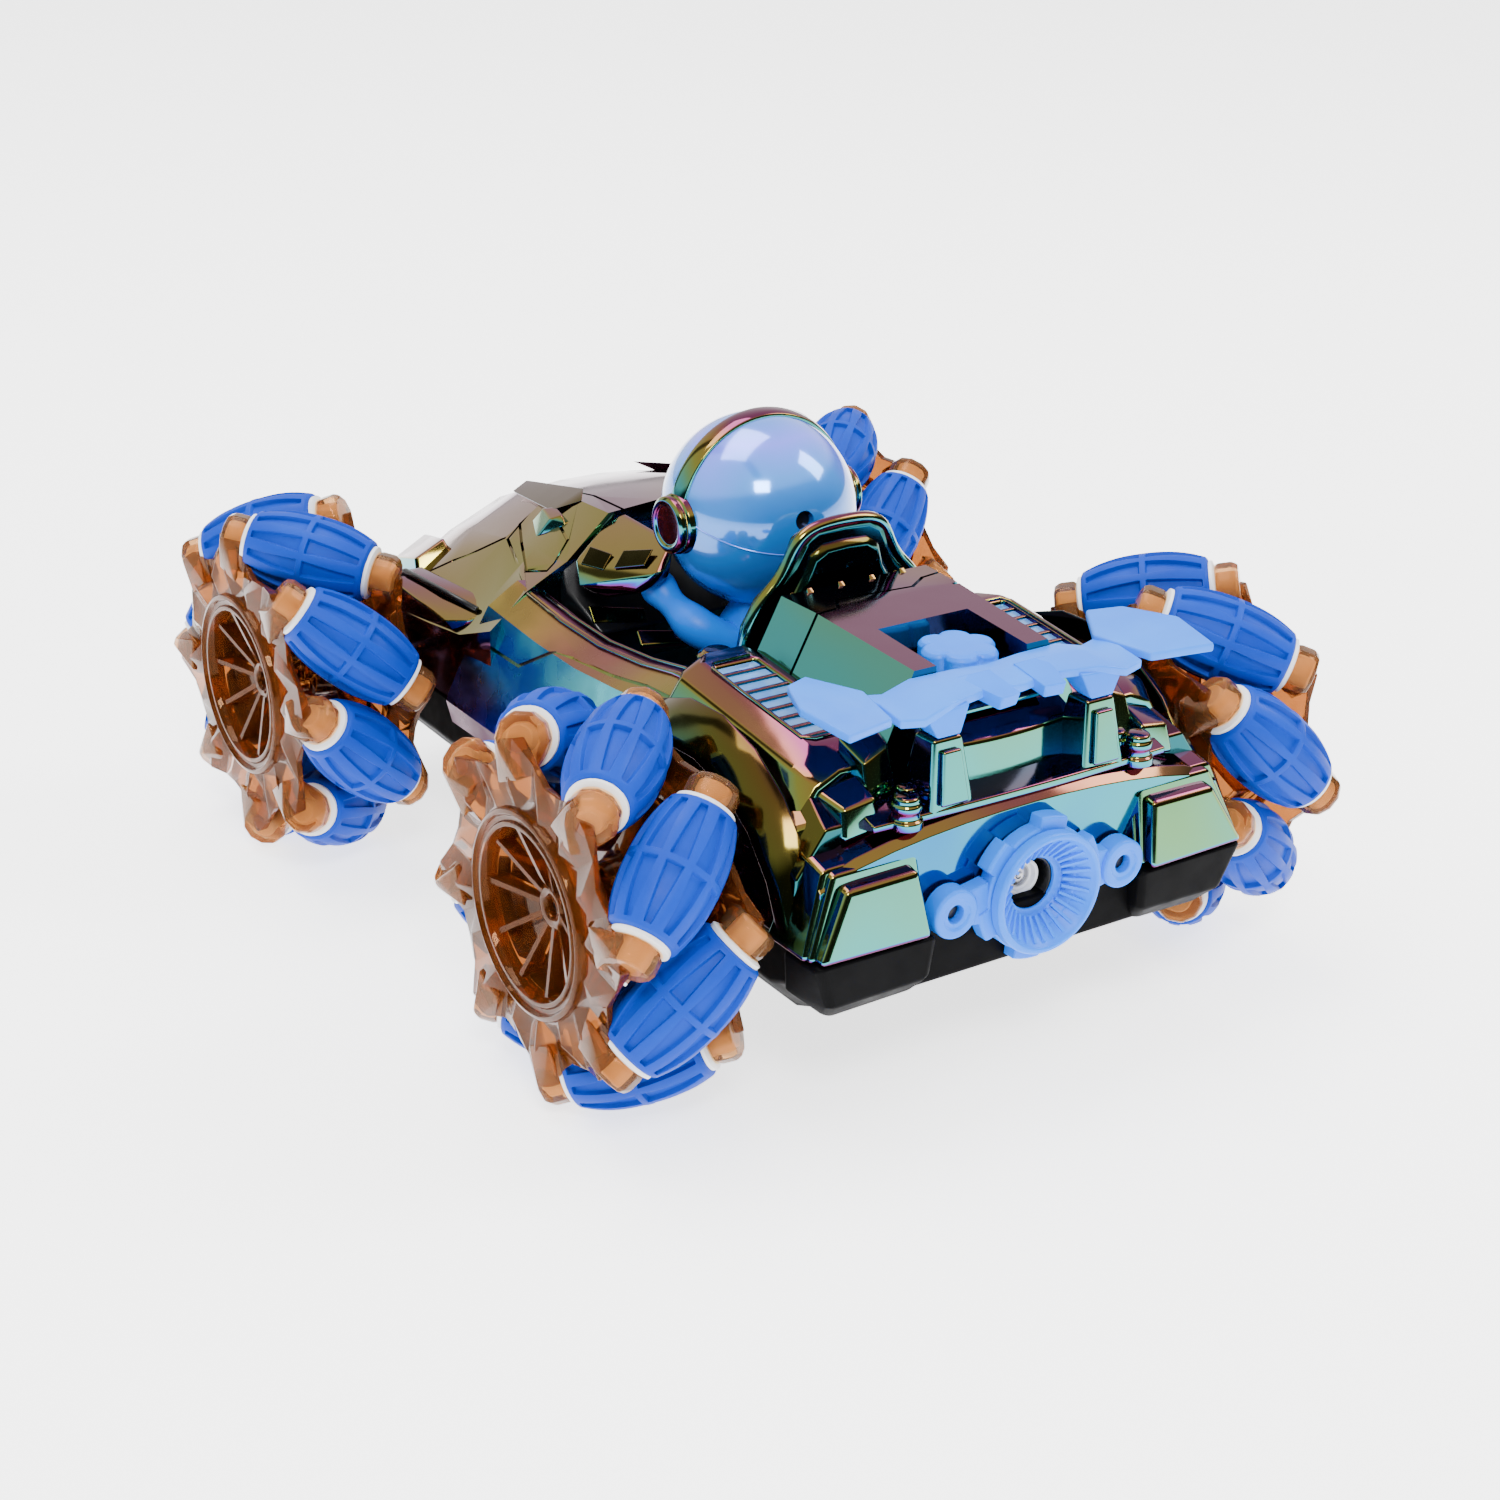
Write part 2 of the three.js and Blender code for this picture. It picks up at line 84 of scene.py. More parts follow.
def ramp(nodes, links, factor, stops):
    node = nodes.new("ShaderNodeValToRGB")
    elements = node.color_ramp.elements
    elements[0].position, elements[0].color = stops[0][0], (*stops[0][1], 1)
    elements[1].position, elements[1].color = stops[-1][0], (*stops[-1][1], 1)
    for position, colour in stops[1:-1]:
        elements.new(position).color = (*colour, 1)
    links.new(factor, node.inputs["Fac"])
    return node.outputs["Color"]


def map_range(nodes, links, value, low, high, to_low, to_high):
    node = nodes.new("ShaderNodeMapRange")
    links.new(value, node.inputs["Value"])
    set_inputs(node, From_Min=low, From_Max=high, To_Min=to_low, To_Max=to_high)
    return node.outputs["Result"]


def maths(nodes, links, operation, first, second):
    node = nodes.new("ShaderNodeMath")
    node.operation = operation
    for socket, value in zip(node.inputs, (first, second)):
        if isinstance(value, (int, float)):
            socket.default_value = value
        else:
            links.new(value, socket)
    return node.outputs["Value"]


def bump(nodes, links, shader, height, distance, strength=0.5):
    node = nodes.new("ShaderNodeBump")
    node.inputs["Distance"].default_value = distance
    node.inputs["Strength"].default_value = strength
    links.new(height, node.inputs["Height"])
    links.new(node.outputs["Normal"], shader.inputs["Normal"])


def plastic(name, dark, light, roughness, grain=0.00002, grain_scale=1800.0, coat=0.0, specular=0.5):
    """Moulded plastic: two close shades, a fine grain and a slightly uneven gloss."""
    material, nodes, links, shader = new_material(name)
    cloudy = noise(nodes, links, 55.0)
    links.new(ramp(nodes, links, cloudy, [(0.3, dark), (0.7, light)]), shader.inputs["Base Color"])
    uneven = noise(nodes, links, 140.0, 5.0)
    links.new(
        map_range(nodes, links, uneven, 0.3, 0.7, roughness * 0.85, roughness * 1.2),
        shader.inputs["Roughness"],
    )
    bump(nodes, links, shader, noise(nodes, links, grain_scale, 2.0), grain)
    set_inputs(shader, Coat_Weight=coat, Coat_Roughness=0.05, Specular_IOR_Level=specular)
    return material


# Film colours by how far a surface faces up: undersides, uprights, slopes and tops.
FILM = [
    (0.00, (0.090, 0.010, 0.050)),
    (0.34, (0.110, 0.014, 0.075)),
    (0.42, (0.090, 0.020, 0.130)),
    (0.46, (0.040, 0.030, 0.260)),
    (0.495, (0.012, 0.120, 0.300)),
    (0.54, (0.025, 0.200, 0.250)),
    (0.66, (0.045, 0.215, 0.190)),
    (0.73, (0.090, 0.200, 0.085)),
    (0.81, (0.160, 0.160, 0.030)),
    (0.91, (0.190, 0.115, 0.028)),
    (0.965, (0.160, 0.055, 0.040)),
    (1.00, (0.120, 0.024, 0.065)),
]


# How much a surface's turn towards the front or back shifts the plating's colour.
SIDEWAYS_TURN = 0.3


def plated(name, shade=1.0, roughness=0.1):
    """Vacuum plating whose colour turns with the slope of the surface, as a thin film's does."""
    material, nodes, links, shader = new_material(name)
    split = nodes.new("ShaderNodeSeparateXYZ")
    links.new(nodes.new("ShaderNodeNewGeometry").outputs["Normal"], split.inputs["Vector"])
    back = maths(nodes, links, "ABSOLUTE", split.outputs["Y"], 0.0)
    slope = maths(nodes, links, "MULTIPLY", back, SIDEWAYS_TURN)
    facing = maths(nodes, links, "ADD", split.outputs["Z"], slope)
    drift = map_range(nodes, links, noise(nodes, links, 16.0, 1.0), 0.3, 0.7, -0.07, 0.07)
    factor = map_range(nodes, links, maths(nodes, links, "ADD", facing, drift), -0.6, 1.0, 0.0, 1.0)
    stops = [(position, tuple(c * shade for c in colour)) for position, colour in FILM]
    links.new(ramp(nodes, links, factor, stops), shader.inputs["Base Color"])
    smears = noise(nodes, links, 60.0, 6.0)
    links.new(
        map_range(nodes, links, smears, 0.35, 0.75, roughness * 0.6, roughness * 1.5),
        shader.inputs["Roughness"],
    )
    bump(nodes, links, shader, noise(nodes, links, 90.0, 1.0), 0.00035, 0.12)
    set_inputs(shader, Metallic=1.0)
    return material


def amber_plastic(name, dark, light):
    """Clear brown plastic with faint flow streaks."""
    material, nodes, links, shader = new_material(name)
    streaks = noise(nodes, links, 80.0, 2.0)
    colour = ramp(nodes, links, streaks, [(0.3, dark), (0.7, light)])
    links.new(colour, shader.inputs["Base Color"])
    links.new(map_range(nodes, links, streaks, 0.3, 0.7, 0.02, 0.06), shader.inputs["Roughness"])
    bump(nodes, links, shader, noise(nodes, links, 120.0, 1.0), 0.0004, 0.1)
    set_inputs(shader, Transmission_Weight=0.86, IOR=1.3, Specular_IOR_Level=0.12,
               Specular_Tint=(0.9, 0.5, 0.25, 1.0))
    return material


def helmet_gloss(name):
    """Pearly blue gloss: blue below, violet and turquoise where it faces up."""
    material, nodes, links, shader = new_material(name)
    split = nodes.new("ShaderNodeSeparateXYZ")
    links.new(nodes.new("ShaderNodeNewGeometry").outputs["Normal"], split.inputs["Vector"])
    drift = map_range(nodes, links, noise(nodes, links, 22.0, 1.0), 0.3, 0.7, -0.45, 0.45)
    factor = map_range(
        nodes, links, maths(nodes, links, "ADD", split.outputs["Z"], drift), -1.2, 1.3, 0.0, 1.0
    )
    stops = [
        (0.0, (0.015, 0.10, 0.42)),
        (0.28, (0.01, 0.15, 0.56)),
        (0.45, (0.012, 0.19, 0.66)),
        (0.58, (0.04, 0.24, 0.74)),
        (0.72, (0.15, 0.19, 0.92)),
        (0.86, (0.06, 0.20, 0.74)),
        (1.0, (0.08, 0.30, 0.70)),
    ]
    links.new(ramp(nodes, links, factor, stops), shader.inputs["Base Color"])
    links.new(
        map_range(nodes, links, noise(nodes, links, 70.0), 0.3, 0.7, 0.08, 0.16), shader.inputs["Roughness"]
    )
    bump(nodes, links, shader, noise(nodes, links, 60.0, 1.0), 0.0003, 0.08)
    set_inputs(shader, Metallic=0.3, Coat_Weight=0.6, Coat_Roughness=0.02)
    return material


BLUE = plastic("roller_rubber", (0.0, 0.032, 0.34), (0.0, 0.042, 0.40), 0.5, 0.00003, 1500.0, specular=0.12)
WHITE = plastic("white_collar", (0.72, 0.74, 0.75), (0.86, 0.86, 0.86), 0.4)
PIN = plastic("pin_cream", (1.0, 0.66, 0.32), (1.0, 0.76, 0.42), 0.35)
AMBER = amber_plastic("amber_clear", (0.22, 0.062, 0.012), (0.34, 0.108, 0.026))
AMBER_BOSS = amber_plastic("amber_boss", (0.42, 0.19, 0.07), (0.54, 0.27, 0.11))
BLACK = plastic("black_tub", (0.001, 0.001, 0.0012), (0.002, 0.002, 0.0023), 0.5, 0.00003, 2400.0,
    specular=0.03)
DARK = plastic("black_inside", (0.002, 0.002, 0.0025), (0.004, 0.004, 0.005), 0.3, specular=0.3)
SKY = plastic("sky_blue", (0.0, 0.155, 0.78), (0.0, 0.185, 0.86), 0.38, 0.000012, 900.0, specular=0.2)
SKY_TOP = plastic("sky_blue_pale", (0.004, 0.17, 0.80), (0.010, 0.21, 0.88), 0.36, 0.000012, 900.0,
    specular=0.25)
PLATED = plated("plated_film")
# Painted shade and painted dark reflection: the plating dimmed to 0.4 for parts that look dark where they
# sit, the wheel arcs, seat, deck base, inner fenders, dash frames, bonnet blades and pod windows.
PLATED_SHADED = plated("plated_film_painted_shade", 0.4, 0.12)
# Satin plating for the sills: the rougher gloss is the part's own finish, and the colour lifted to 1.15 is
# painted light for the bright floor they mirror.
SATIN_PAINTED_LIGHT = plated("plated_film_satin_painted_light", 1.15, 0.34)
GRILLE = plastic("grille_plate", (0.03, 0.12, 0.34), (0.10, 0.24, 0.50), 0.14, coat=0.3)
HELMET = helmet_gloss("helmet_pearl")
STEEL = plastic("screw_steel", (0.30, 0.30, 0.32), (0.48, 0.48, 0.50), 0.25)
STEEL.node_tree.nodes["Principled BSDF"].inputs["Metallic"].default_value = 1.0
MOTOR_GREY = plastic("motor_grey", (0.20, 0.20, 0.21), (0.30, 0.30, 0.31), 0.45)
BOARD = plastic("board_green", (0.008, 0.10, 0.03), (0.015, 0.16, 0.05), 0.35)
WRAP = plastic("battery_wrap", (0.02, 0.10, 0.30), (0.04, 0.16, 0.42), 0.3)
TANK = plastic("tank_white", (0.62, 0.66, 0.68), (0.74, 0.77, 0.78), 0.35)


# Mesh helpers


def piece(name, mesh, material, body="chassis"):
    obj = bpy.data.objects.new(name, mesh)
    bpy.context.scene.collection.objects.link(obj)
    if not mesh.materials:
        mesh.materials.append(material)
    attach(obj, body)
    return obj


def finish_mesh(name, work, smooth=True):
    bmesh.ops.recalc_face_normals(work, faces=work.faces)
    if work.calc_volume(signed=True) < 0:
        bmesh.ops.reverse_faces(work, faces=work.faces)
    mesh = bpy.data.meshes.new(name)
    work.to_mesh(mesh)
    work.free()
    mesh.shade_smooth() if smooth else mesh.shade_flat()
    return mesh


def soften(obj, width, segments=2, angle=28):
    """Rounds the edges and keeps the flats flat."""
    rounding = obj.modifiers.new("rounded_edges", "BEVEL")
    rounding.width = width * MM
    rounding.segments = segments
    rounding.limit_method = "ANGLE"
    rounding.angle_limit = math.radians(angle)
    rounding.miter_outer = "MITER_ARC"
    rounding.use_clamp_overlap = True
    obj.modifiers.new("flats", "WEIGHTED_NORMAL").keep_sharp = False
    return obj


def hull_mesh(name, points):
    work = bmesh.new()
    for point in points:
        work.verts.new(point)
    bmesh.ops.convex_hull(work, input=work.verts)
    loose = [vertex for vertex in work.verts if not vertex.link_faces]
    bmesh.ops.delete(work, geom=loose, context="VERTS")
    bmesh.ops.dissolve_limit(work, angle_limit=math.radians(0.8), verts=work.verts, edges=work.edges)
    return finish_mesh(name, work)


def hull(name, points, material, width=0.6, body="chassis", segments=2):
    mesh = hull_mesh(name, [at(*point) for point in points])
    return soften(piece(name, mesh, material, body), width, segments)


def mirrored(points, side):
    return [(x * side, y, z) for x, y, z in points]


def loft_mesh(name, rings):
    """Rings with equal point counts, joined in order and capped at both ends."""
    work = bmesh.new()
    made = [[work.verts.new(point) for point in ring] for ring in rings]
    count = len(rings[0])
    for first, second in zip(made, made[1:]):
        for i in range(count):
            j = (i + 1) % count
            work.faces.new((first[i], first[j], second[j], second[i]))
    work.faces.new(made[0])
    work.faces.new(list(reversed(made[-1])))
    return finish_mesh(name, work)


def loft(name, rings, material, width=0.6, body="chassis", segments=2):
    mesh = loft_mesh(name, [[at(*point) for point in ring] for ring in rings])
    return soften(piece(name, mesh, material, body), width, segments)


def turn_to(axis):
    return Vector((0, 0, 1)).rotation_difference(Vector(axis).normalized()).to_matrix().to_4x4()


def lathe_mesh(name, profile, segments):
    """Turns (radius, height) pairs in millimetres about Z.

    A profile that is off the axis at both ends closes on itself.
    """
    work = bmesh.new()
    rings = []
    for radius, height in profile:
        if radius == 0:
            rings.append([work.verts.new((0, 0, height * MM))] * segments)
            continue
        rings.append([
            work.verts.new((
                radius * MM * math.cos(2 * math.pi * i / segments),
                radius * MM * math.sin(2 * math.pi * i / segments),
                height * MM,
            ))
            for i in range(segments)
        ])
    pairs = list(zip(rings, rings[1:]))
    if profile[0][0] > 0 and profile[-1][0] > 0:
        pairs.append((rings[-1], rings[0]))
    for first, second in pairs:
        for i in range(segments):
            j = (i + 1) % segments
            corners = []
            for vertex in (first[i], first[j], second[j], second[i]):
                if vertex not in corners:
                    corners.append(vertex)
            if len(corners) > 2:
                work.faces.new(corners)
    return finish_mesh(name, work)


def lathe(name, profile, origin, axis, material, body="chassis", segments=48, width=0.4):
    mesh = lathe_mesh(name, profile, segments)
    mesh.transform(Matrix.Translation(origin) @ turn_to(axis))
    return soften(piece(name, mesh, material, body), width, 2, 24)


def tube_mesh(name, points, radius, sides=12):
    """A round bar along points, capped flat at both ends."""
    rings = []
    count = len(points)
    for i, point in enumerate(points):
        ahead = points[min(i + 1, count - 1)] - points[max(i - 1, 0)]
        frame_matrix = turn_to(ahead).to_3x3()
        radius_here = radius[i] if isinstance(radius, (list, tuple)) else radius
        rings.append([
            point + frame_matrix @ Vector((
                radius_here * MM * math.cos(2 * math.pi * k / sides),
                radius_here * MM * math.sin(2 * math.pi * k / sides),
                0,
            ))
            for k in range(sides)
        ])
    return loft_mesh(name, rings)


def outline_prism(points, thickness, direction):
    """The two rings of a flat outline extruded by thickness along direction."""
    offset = Vector(direction).normalized() * thickness
    return [
        [Vector(point) for point in points],
        [Vector(point) + offset for point in points],
    ]


def plate(name, points, thickness, direction, material, width=0.4, body="chassis", segments=2):
    rings = outline_prism(points, thickness, direction)
    mesh = loft_mesh(name, [[at(*point) for point in ring] for ring in rings])
    return soften(piece(name, mesh, material, body), width, segments)


def carve(obj, line, normal, width=0.9, depth=1.0):
    """Cuts a groove along a line that lies on the piece's surface. It goes before the rounding."""
    normal = Vector(normal).normalized()
    work = bmesh.new()
    points = [Vector(point) for point in line]
    for start, end in zip(points, points[1:]):
        along = (end - start).normalized()
        across = along.cross(normal).normalized() * width / 2
        start, end = start - along * width / 2, end + along * width / 2
        low, high = -normal * depth, normal * 3
        corners = [
            work.verts.new(at(*(point + side * across + height)))
            for height in (low, high)
            for point, side in ((start, -1), (start, 1), (end, 1), (end, -1))
        ]
        bmesh.ops.convex_hull(work, input=corners)
    mesh = finish_mesh("groove_tool", work, False)
    tool = bpy.data.objects.new("groove_tool", mesh)
    return cut_with(obj, tool)


def cut_with(obj, tool):
    """Takes the tool's shape out of obj for good, before any of its other modifiers."""
    bpy.context.scene.collection.objects.link(tool)
    kept = [modifier.name for modifier in obj.modifiers]
    cutter = obj.modifiers.new("cut", "BOOLEAN")
    cutter.operation = "DIFFERENCE"
    cutter.solver = "EXACT"
    cutter.use_self = True
    cutter.object = tool
    obj.modifiers.move(len(kept), 0)
    for name in kept:
        obj.modifiers[name].show_viewport = False
    bpy.context.view_layer.update()
    depsgraph = bpy.context.evaluated_depsgraph_get()
    mesh = bpy.data.meshes.new_from_object(obj.evaluated_get(depsgraph))
    obj.modifiers.remove(cutter)
    for name in kept:
        obj.modifiers[name].show_viewport = True
    old = obj.data
    obj.data = mesh
    bpy.data.meshes.remove(old)
    bpy.data.objects.remove(tool)
    return obj


def cut_hull(obj, points):
    return cut_with(obj, bpy.data.objects.new("cut_tool",
        hull_mesh("cut_tool", [at(*point) for point in points])))


def cut_lathe(obj, profile, origin, axis, segments):
    mesh = lathe_mesh("cut_tool", profile, segments)
    mesh.transform(Matrix.Translation(origin) @ turn_to(axis))
    return cut_with(obj, bpy.data.objects.new("cut_tool", mesh))


# Camera, lights and floor

# Camera place in millimetres, direction in degrees and focal length in millimetres.
CAMERA_AT = (-367.0, -546.8, 330.8)
CAMERA_AZIMUTH, CAMERA_ELEVATION, CAMERA_ROLL = -33.871, 23.716, 1.017
CAMERA_LENS = 62.78


def camera():
    data = bpy.data.cameras.new("camera")
    data.lens = CAMERA_LENS
    data.sensor_width = 36.0
    data.clip_start, data.clip_end = 0.01, 100.0
    obj = bpy.data.objects.new("camera", data)
    bpy.context.scene.collection.objects.link(obj)
    azimuth, elevation = math.radians(CAMERA_AZIMUTH), math.radians(CAMERA_ELEVATION)
    back = Vector((
        math.sin(azimuth) * math.cos(elevation), -math.cos(azimuth) * math.cos(elevation),
        math.sin(elevation),
    ))
    right = Vector((math.cos(azimuth), math.sin(azimuth), 0))
    up = back.cross(right)
    roll = math.radians(CAMERA_ROLL)
    right, up = (
        right * math.cos(roll) + up * math.sin(roll),
        up * math.cos(roll) - right * math.sin(roll),
    )
    matrix = Matrix((right, up, back)).transposed().to_4x4()
    matrix.translation = at(*CAMERA_AT)
    obj.matrix_world = matrix
    bpy.context.scene.camera = obj


def area_light(name, place, aim, size, power):
    data = bpy.data.lights.new(name, "AREA")
    data.shape = "RECTANGLE"
    data.size, data.size_y = size
    data.energy = power
    obj = bpy.data.objects.new(name, data)
    bpy.context.scene.collection.objects.link(obj)
    obj.location = place
    direction = Vector(aim) - Vector(place)
    obj.rotation_euler = direction.to_track_quat("-Z", "Y").to_euler()


def studio():
    world = bpy.data.worlds.new("studio")
    bpy.context.scene.world = world
    world.use_nodes = True
    nodes, links = world.node_tree.nodes, world.node_tree.links
    background = nodes["Background"]
    split = nodes.new("ShaderNodeSeparateXYZ")
    links.new(nodes.new("ShaderNodeTexCoord").outputs["Generated"], split.inputs["Vector"])
    # A large bright ceiling that reaches lower in front of the car than behind it, and a dim horizon.
    ahead = maths(nodes, links, "MULTIPLY", split.outputs["Y"], 0.35)
    reach = maths(nodes, links, "ADD", split.outputs["Z"], ahead)
    lit = map_range(nodes, links, reach, 0.27, 0.40, 0.04, 1.0)
    offset = maths(nodes, links, "ABSOLUTE", maths(nodes, links, "ADD", split.outputs["X"], 0.34), 0.0)
    gap = map_range(nodes, links, offset, 0.05, 0.09, 0.12, 1.0)
    level = maths(nodes, links, "MULTIPLY", lit, gap)
    links.new(
        ramp(nodes, links, level, [(0.0, (0.0, 0.0, 0.0)), (1.0, (1.0, 1.0, 1.0))]),
        background.inputs["Color"]
    )
    background.inputs["Strength"].default_value = 1.5
    area_light("key_box", (-0.55, -1.0, 1.15), (0, 0, 0.05), (0.45, 0.35), 22.0)
    area_light("fill_box", (1.1, -0.5, 1.1), (0, 0, 0.05), (0.5, 0.7), 16.0)
    area_light("top_box", (-0.2, 0.5, 1.8), (0, 0, 0.05), (1.4, 0.9), 40.0)
    material, nodes, links, shader = new_material("pale_floor")
    shade = noise(nodes, links, 3.0)
    links.new(
        ramp(nodes, links, shade, [(0.3, (0.86, 0.86, 0.86)), (0.7, (0.88, 0.88, 0.88))]),
        shader.inputs["Base Color"],
    )
    set_inputs(shader, Roughness=0.85, Emission_Color=(1.0, 1.0, 1.0, 1.0), Emission_Strength=2.3)
    work = bmesh.new()
    bmesh.ops.create_grid(work, x_segments=8, y_segments=8, size=40.0)
    mesh = finish_mesh("floor", work)
    mesh.materials.append(material)
    floor = bpy.data.objects.new("floor", mesh)
    bpy.context.scene.collection.objects.link(floor)
    floor.location.z = -0.0002


# Wheels

ROLLERS = 8
ROLLER_CIRCLE = 39.3
BARREL_RADIUS, BARREL_HALF, BARREL_POWER = 11.5, 18.0, 2.4
ROLLER_END = 7.7
GROOVES = 11
COLLAR_FACE = 18.44
# Side, hub Y, slant of the rollers and the first roller's angle in degrees.
WHEELS = {
    "fl": (-1, 95.9, -1, -29.2),
    "fr": (1, 95.9, -1, -31.4),
    "rl": (-1, REAR_HUB_Y, 1, -30.1),
    "rr": (1, REAR_HUB_Y, 1, -17.3),
}


def wheel_point(wheel, theta, out, around, radial):
    """A point beside roller angle theta: out along the axle, around the rim, and out from the hub."""
    side, y, slant, _ = WHEELS[wheel]
    turn = around * slant
    return at(
        side * (TRACK_HALF + out),
        y + radial * math.cos(theta) - turn * math.sin(theta),
        HUB_Z + radial * math.sin(theta) + turn * math.cos(theta),
    )


def roller_theta(wheel, index):
    return math.radians(WHEELS[wheel][3] + index * 360 / ROLLERS)


def along_roller(wheel, theta, distance):
    step = distance * math.sqrt(0.5)
    return wheel_point(wheel, theta, step, step, ROLLER_CIRCLE)


def roller_matrix(wheel, theta):
    start, end = along_roller(wheel, theta, -1), along_roller(wheel, theta, 1)
    matrix = turn_to(end - start)
    matrix.translation = (start + end) / 2
    return matrix


def barrel_radius(distance):
    taper = (abs(distance) / BARREL_HALF) ** BARREL_POWER
    return ROLLER_END + (BARREL_RADIUS - ROLLER_END) * (1 - taper)


def sleeve_mesh():
    """The grooved sleeve: a barrel with a row of tapered recesses on each side of its middle band."""
    band, rim, wall, depth, bore = 0.8, 15.4, 0.3, 1.3, 6.6
    rows = [(-rim, -band), (band, rim)]
    heights = [-16.9, -16.4, 16.4, 16.9]
    for low, high in rows:
        heights += [low, high] + [low + wall + (high - low - 2 * wall) * k / 7 for k in range(8)]
    heights.sort()

    def share(distance):
        """Half the recess's share of its pitch: wide at the middle band, narrow at the ends."""
        return 0.31 - 0.15 * min(1.0, max(0.0, (abs(distance) - band) / (rim - band)))

    work = bmesh.new()
    rings = []
    pitch = 2 * math.pi / GROOVES
    for height in heights:
        deep = any(low + wall / 2 < height < high - wall / 2 for low, high in rows)
        edge = share(height)
        steps = [
            (-0.5, 0), (-edge - 0.04, 0), (-edge, 1), (-edge * 0.35, 1), (edge * 0.35, 1), (edge, 1),
            (edge + 0.04, 0),
        ]
        radius = barrel_radius(height) - (0.5 if abs(height) > 16.8 else 0.0)
        ring = []
        for groove in range(GROOVES):
            for position, sunk in steps:
                angle = pitch * (groove + position)
                here = radius - (depth if deep and sunk else 0.0)
                ring.append(work.verts.new((
                    here * MM * math.cos(angle), here * MM * math.sin(angle), height * MM,
                )))
        rings.append(ring)
    inner = [
        [
            work.verts.new((*(vertex.co.xy.normalized() * bore * MM), height * MM))
            for vertex in ring
        ]
        for ring, height in ((rings[0], heights[0]), (rings[-1], heights[-1]))
    ]
    count = len(rings[0])
    loops = [*rings, inner[1], inner[0], rings[0]]
    for first, second in zip(loops, loops[1:]):
        for i in range(count):
            j = (i + 1) % count
            work.faces.new((first[i], first[j], second[j], second[i]))
    bmesh.ops.recalc_face_normals(work, faces=work.faces)
    sharp = [edge for edge in work.edges if edge.is_manifold and edge.calc_face_angle() > math.radians(32)]
    bmesh.ops.bevel(work, geom=sharp, offset=0.14 * MM, segments=2, profile=0.6, affect="EDGES")
    mesh = finish_mesh("roller_sleeve", work)
    mesh.materials.append(BLUE)
    mesh.set_sharp_from_angle(angle=math.radians(60))
    return mesh


def core_mesh():
    """The pale core: a pin with a stepped white collar at each end of the sleeve."""
    half = [
        (0, 23.6), (2.9, 23.6), (3.3, 23.2), (3.3, 18.5), (6.2, 18.4), (7.4, 17.9), (7.4, 17.0),
        (6.5, 16.8),
        (6.5, 5.0),
    ]
    profile = [(radius, -height) for radius, height in half] + [(radius, height) for radius,
        height in reversed(half)]
    mesh = lathe_mesh("roller_core", profile, 32)
    mesh.materials.append(WHITE)
    mesh.materials.append(PIN)
    for face in mesh.polygons:
        if abs(face.center.z) > COLLAR_FACE * MM:
            face.material_index = 1
    mesh.set_sharp_from_angle(angle=math.radians(30))
    return mesh


def roller_pieces():
    sleeve, core = sleeve_mesh(), core_mesh()
    for wheel in WHEELS:
        for index in range(ROLLERS):
            body = f"roller_{wheel}_{index + 1}"
            matrix = roller_matrix(wheel, roller_theta(wheel, index))
            for name, mesh, slot in (("sleeve", sleeve, "roller_blue"), ("core", core, "white_plastic")):
                obj = bpy.data.objects.new(f"{name}_{wheel}_{index + 1}", mesh)
                bpy.context.scene.collection.objects.link(obj)
                obj.matrix_world = matrix
                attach(obj, body)
                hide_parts(body)


def star_plate(wheel, face):
    """The facetted plate between the ring and the bosses."""
    boss = math.degrees(math.atan2(14.6, 38.8))
    # Radius, height out and angle from the boss, for one eighth of the plate's outer surface.
    inner = [(25.0, 18.4, 0.0), (25.0, 18.4, 22.5)]
    middle = [(32.5, 20.2, 0.0), (30.0, 17.4, 11.0), (31.5, 19.4, 22.5), (29.5, 17.4, 34.0)]
    outer = [(42.0, 18.6, -6.0), (43.5, 19.2, 4.0), (39.0, 17.6, 13.0), (36.2, 17.9, 22.5),
        (37.6, 17.3, 32.0)]
    work = bmesh.new()

    direction = WHEELS[wheel][2] * face

    def ring(points, height=None, shrink=0.0):
        made = []
        for index in range(ROLLERS):
            theta = roller_theta(wheel, index * direction)
            for radius, out, angle in points:
                local = math.radians(boss + angle)
                around = math.sin(local) * (radius - shrink)
                radial = math.cos(local) * (radius - shrink)
                made.append(work.verts.new(
                    wheel_point(wheel, theta, (out if height is None else height) * face, around * face,
                    radial)
                ))
        return made

    def strip(first, second):
        """Joins two rings of unlike counts by walking both in step."""
        i = j = 0
        while i < len(first) or j < len(second):
            a, b = first[i % len(first)], second[j % len(second)]
            if j >= len(second) or (i < len(first) and (i + 1) / len(first) <= (j + 1) / len(second)):
                work.faces.new((a, first[(i + 1) % len(first)], b))
                i += 1
            else:
                work.faces.new((a, second[(j + 1) % len(second)], b))
                j += 1

    top = [ring(inner), ring(middle), ring(outer)]
    low = [ring(outer, 16.1, 0.3), ring(inner, 14.6)]
    strip(top[0], top[1])
    strip(top[1], top[2])
    strip(top[2], low[0])
    strip(low[0], low[1])
    strip(low[1], top[0])
    return work


